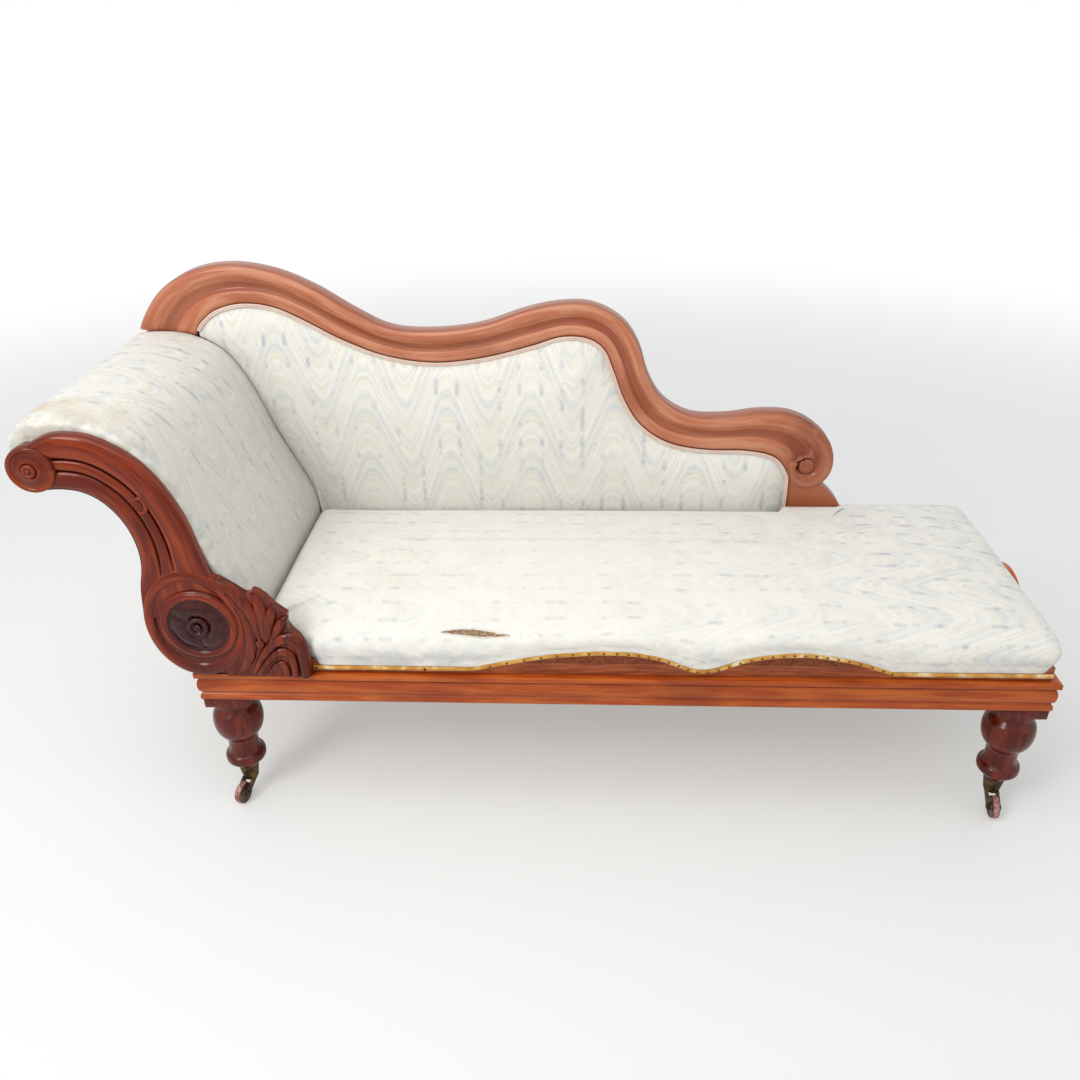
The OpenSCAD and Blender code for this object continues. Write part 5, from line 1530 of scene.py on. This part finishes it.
coils = bmesh.new()
for i in range(8):
    for j in range(3):
        cx, cy = 188.5 + (1395 - 188.5) * i / 7, 100.9 + (410.9 - 100.9) * j / 2
        points = []
        for k in range(133):
            t = k / 132
            turn = 2 * math.pi * 6 * t
            wide = 23.5 + 14.2 * abs(2 * t - 1) ** 1.3
            points.append(at(cx + wide * math.cos(turn), cy + wide * math.sin(turn), 259.2 + 109.8 * t))
        added(coils, thread_line(points, 0.0017, 5))
wire, tree = material("spring_wire")
rust = specks(tree, here(tree), 120, 3)
dress(tree, Base_Color=blended(tree, rust.step(0.4, 0.7), rgb(120, 96, 66), rgb(92, 58, 36)), Metallic=0.8,
      Roughness=0.4 + rust * 0.2, Normal=bumped(tree, rust, 0.2, 0.0005))
piece("seat_springs", coils, wire, "spring_steel", "seat_springs", smooth=60)

rings = []
for i in range(121):
    x = 127.2 + (1483.2 - 127.2) * i / 120
    ring = []
    for j in range(51):
        t = j / 50
        y = 36.6 + 440 * t
        rise = min((y - 36.6) / 0.8, (476.6 - y) / 0.8, (1484 - x) / 0.8, 26)
        dip = math.sin(math.pi * (x - 188.5) / 172.4) ** 2 + math.sin(math.pi * (y - 100.9) / 155) ** 2
        ring.append(at(x, y, 346 + rise - (1.4 * dip if rise > 25 else 0)))
    rings.append(ring)
mesh = lofted(rings, closed=False, capped=False)
span = flat_area(mesh)
cloth = piece("seat_hessian", shell(mesh, 1.2), pale_jute, "jute", "seat_hessian", smooth=60)

# Inside the arm and the back: jute webs stretched over the rails and the stays, under the stuffing. They
# are seen only with the covers off.

inner_line = even([(x, z) for x, z in shifted(arm_line, 35.6) if z > 347.5], 80)
rings = [[at(x, 16.4 + 469.8 * k / 30, z) for x, z in inner_line] for k in range(31)]
mesh = lofted(rings, closed=False, capped=False)
span = flat_area(mesh)
cloth = piece("arm_webbing", shell(mesh, 1.2), pale_jute, "jute", "arm_webbing", smooth=60)
span / 0.4698 * 1.001
first_stay = 44
rings = []
for x, top in columns:
    low = max(sill(x), 350.5)
    if x > first_stay:
        rings.append([at(x, 491.6, low + 1 + (top - 3 - low) * k / 14) for k in range(15)])
mesh = lofted(rings, closed=False, capped=False)
span = flat_area(mesh)
cloth = piece("back_webbing", shell(mesh, 1.2), pale_jute, "jute", "back_webbing", smooth=60)

# The wheels: brown glazed ceramic, turned with a dished face each side, riveted between the horn's arms.
# The rounded tread has worn to a dull pink.


def ceramic():
    made, tree = material("brown_ceramic")
    wear = specks(tree, here(tree), 90, 4, 0.65)
    tone = blended(tree, wear.step(0.4, 0.7), rgb(66, 33, 26), rgb(92, 50, 40))
    dress(tree, Base_Color=tone, Roughness=0.25 + wear * 0.2, Coat_Weight=0.3, Coat_Roughness=0.1,
          Normal=bumped(tree, wear, 0.08, 0.0008))
    return made


clay = ceramic()
worn, tree = material("worn_tread")
chips = specks(tree, here(tree), 140, 4, 0.65)
tone = blended(tree, chips.step(0.38, 0.6), rgb(120, 72, 62), rgb(198, 146, 136))
dress(tree, Base_Color=tone, Roughness=0.5 + chips * 0.3, Normal=bumped(tree, chips, 0.3, 0.0009))
wheel_points = [(3.3, -7.4), (7.6, -7.4), (8.6, -6.4), (9.4, -5.2), (15.6, -5.0), (18.4, -6.4),
                (19.9, -6.2), (20.6, -4.6), (20.95, -2.2), (21, 0), (20.95, 2.2), (20.6, 4.6), (19.9, 6.2),
                (18.4, 6.4), (15.6, 5.0), (9.4, 5.2), (8.6, 6.4), (7.6, 7.4), (3.3, 7.4), (3.3, -7.4)]
trail_turns = {"front_left": -106, "front_right": -96, "back_left": -118, "back_right": -82}
for which, (x, y) in sites.items():
    turn = math.radians(trail_turns[which])
    mesh = turned(wheel_points, 64)
    bmesh.ops.rotate(mesh, cent=(0, 0, 0), matrix=Matrix.Rotation(math.radians(90), 3, "X"), verts=mesh.verts)
    bmesh.ops.rotate(mesh, cent=(0, 0, 0), matrix=Matrix.Rotation(turn, 3, "Z"), verts=mesh.verts)
    centre = at(x + 32 * math.cos(turn), y + 32 * math.sin(turn), 21)
    bmesh.ops.translate(mesh, vec=centre, verts=mesh.verts)
    name = "wheel_" + which
    wheel = piece(name, mesh, clay, "brown_ceramic", name, smooth=35, body=name)
    wheel.data.materials.append(worn)
    axle = Vector((-math.sin(turn), math.cos(turn), 0))
    for face in wheel.data.polygons:
        arm = face.center - centre
        if (arm - axle * arm.dot(axle)).length > 0.0203:
            face.material_index = 1
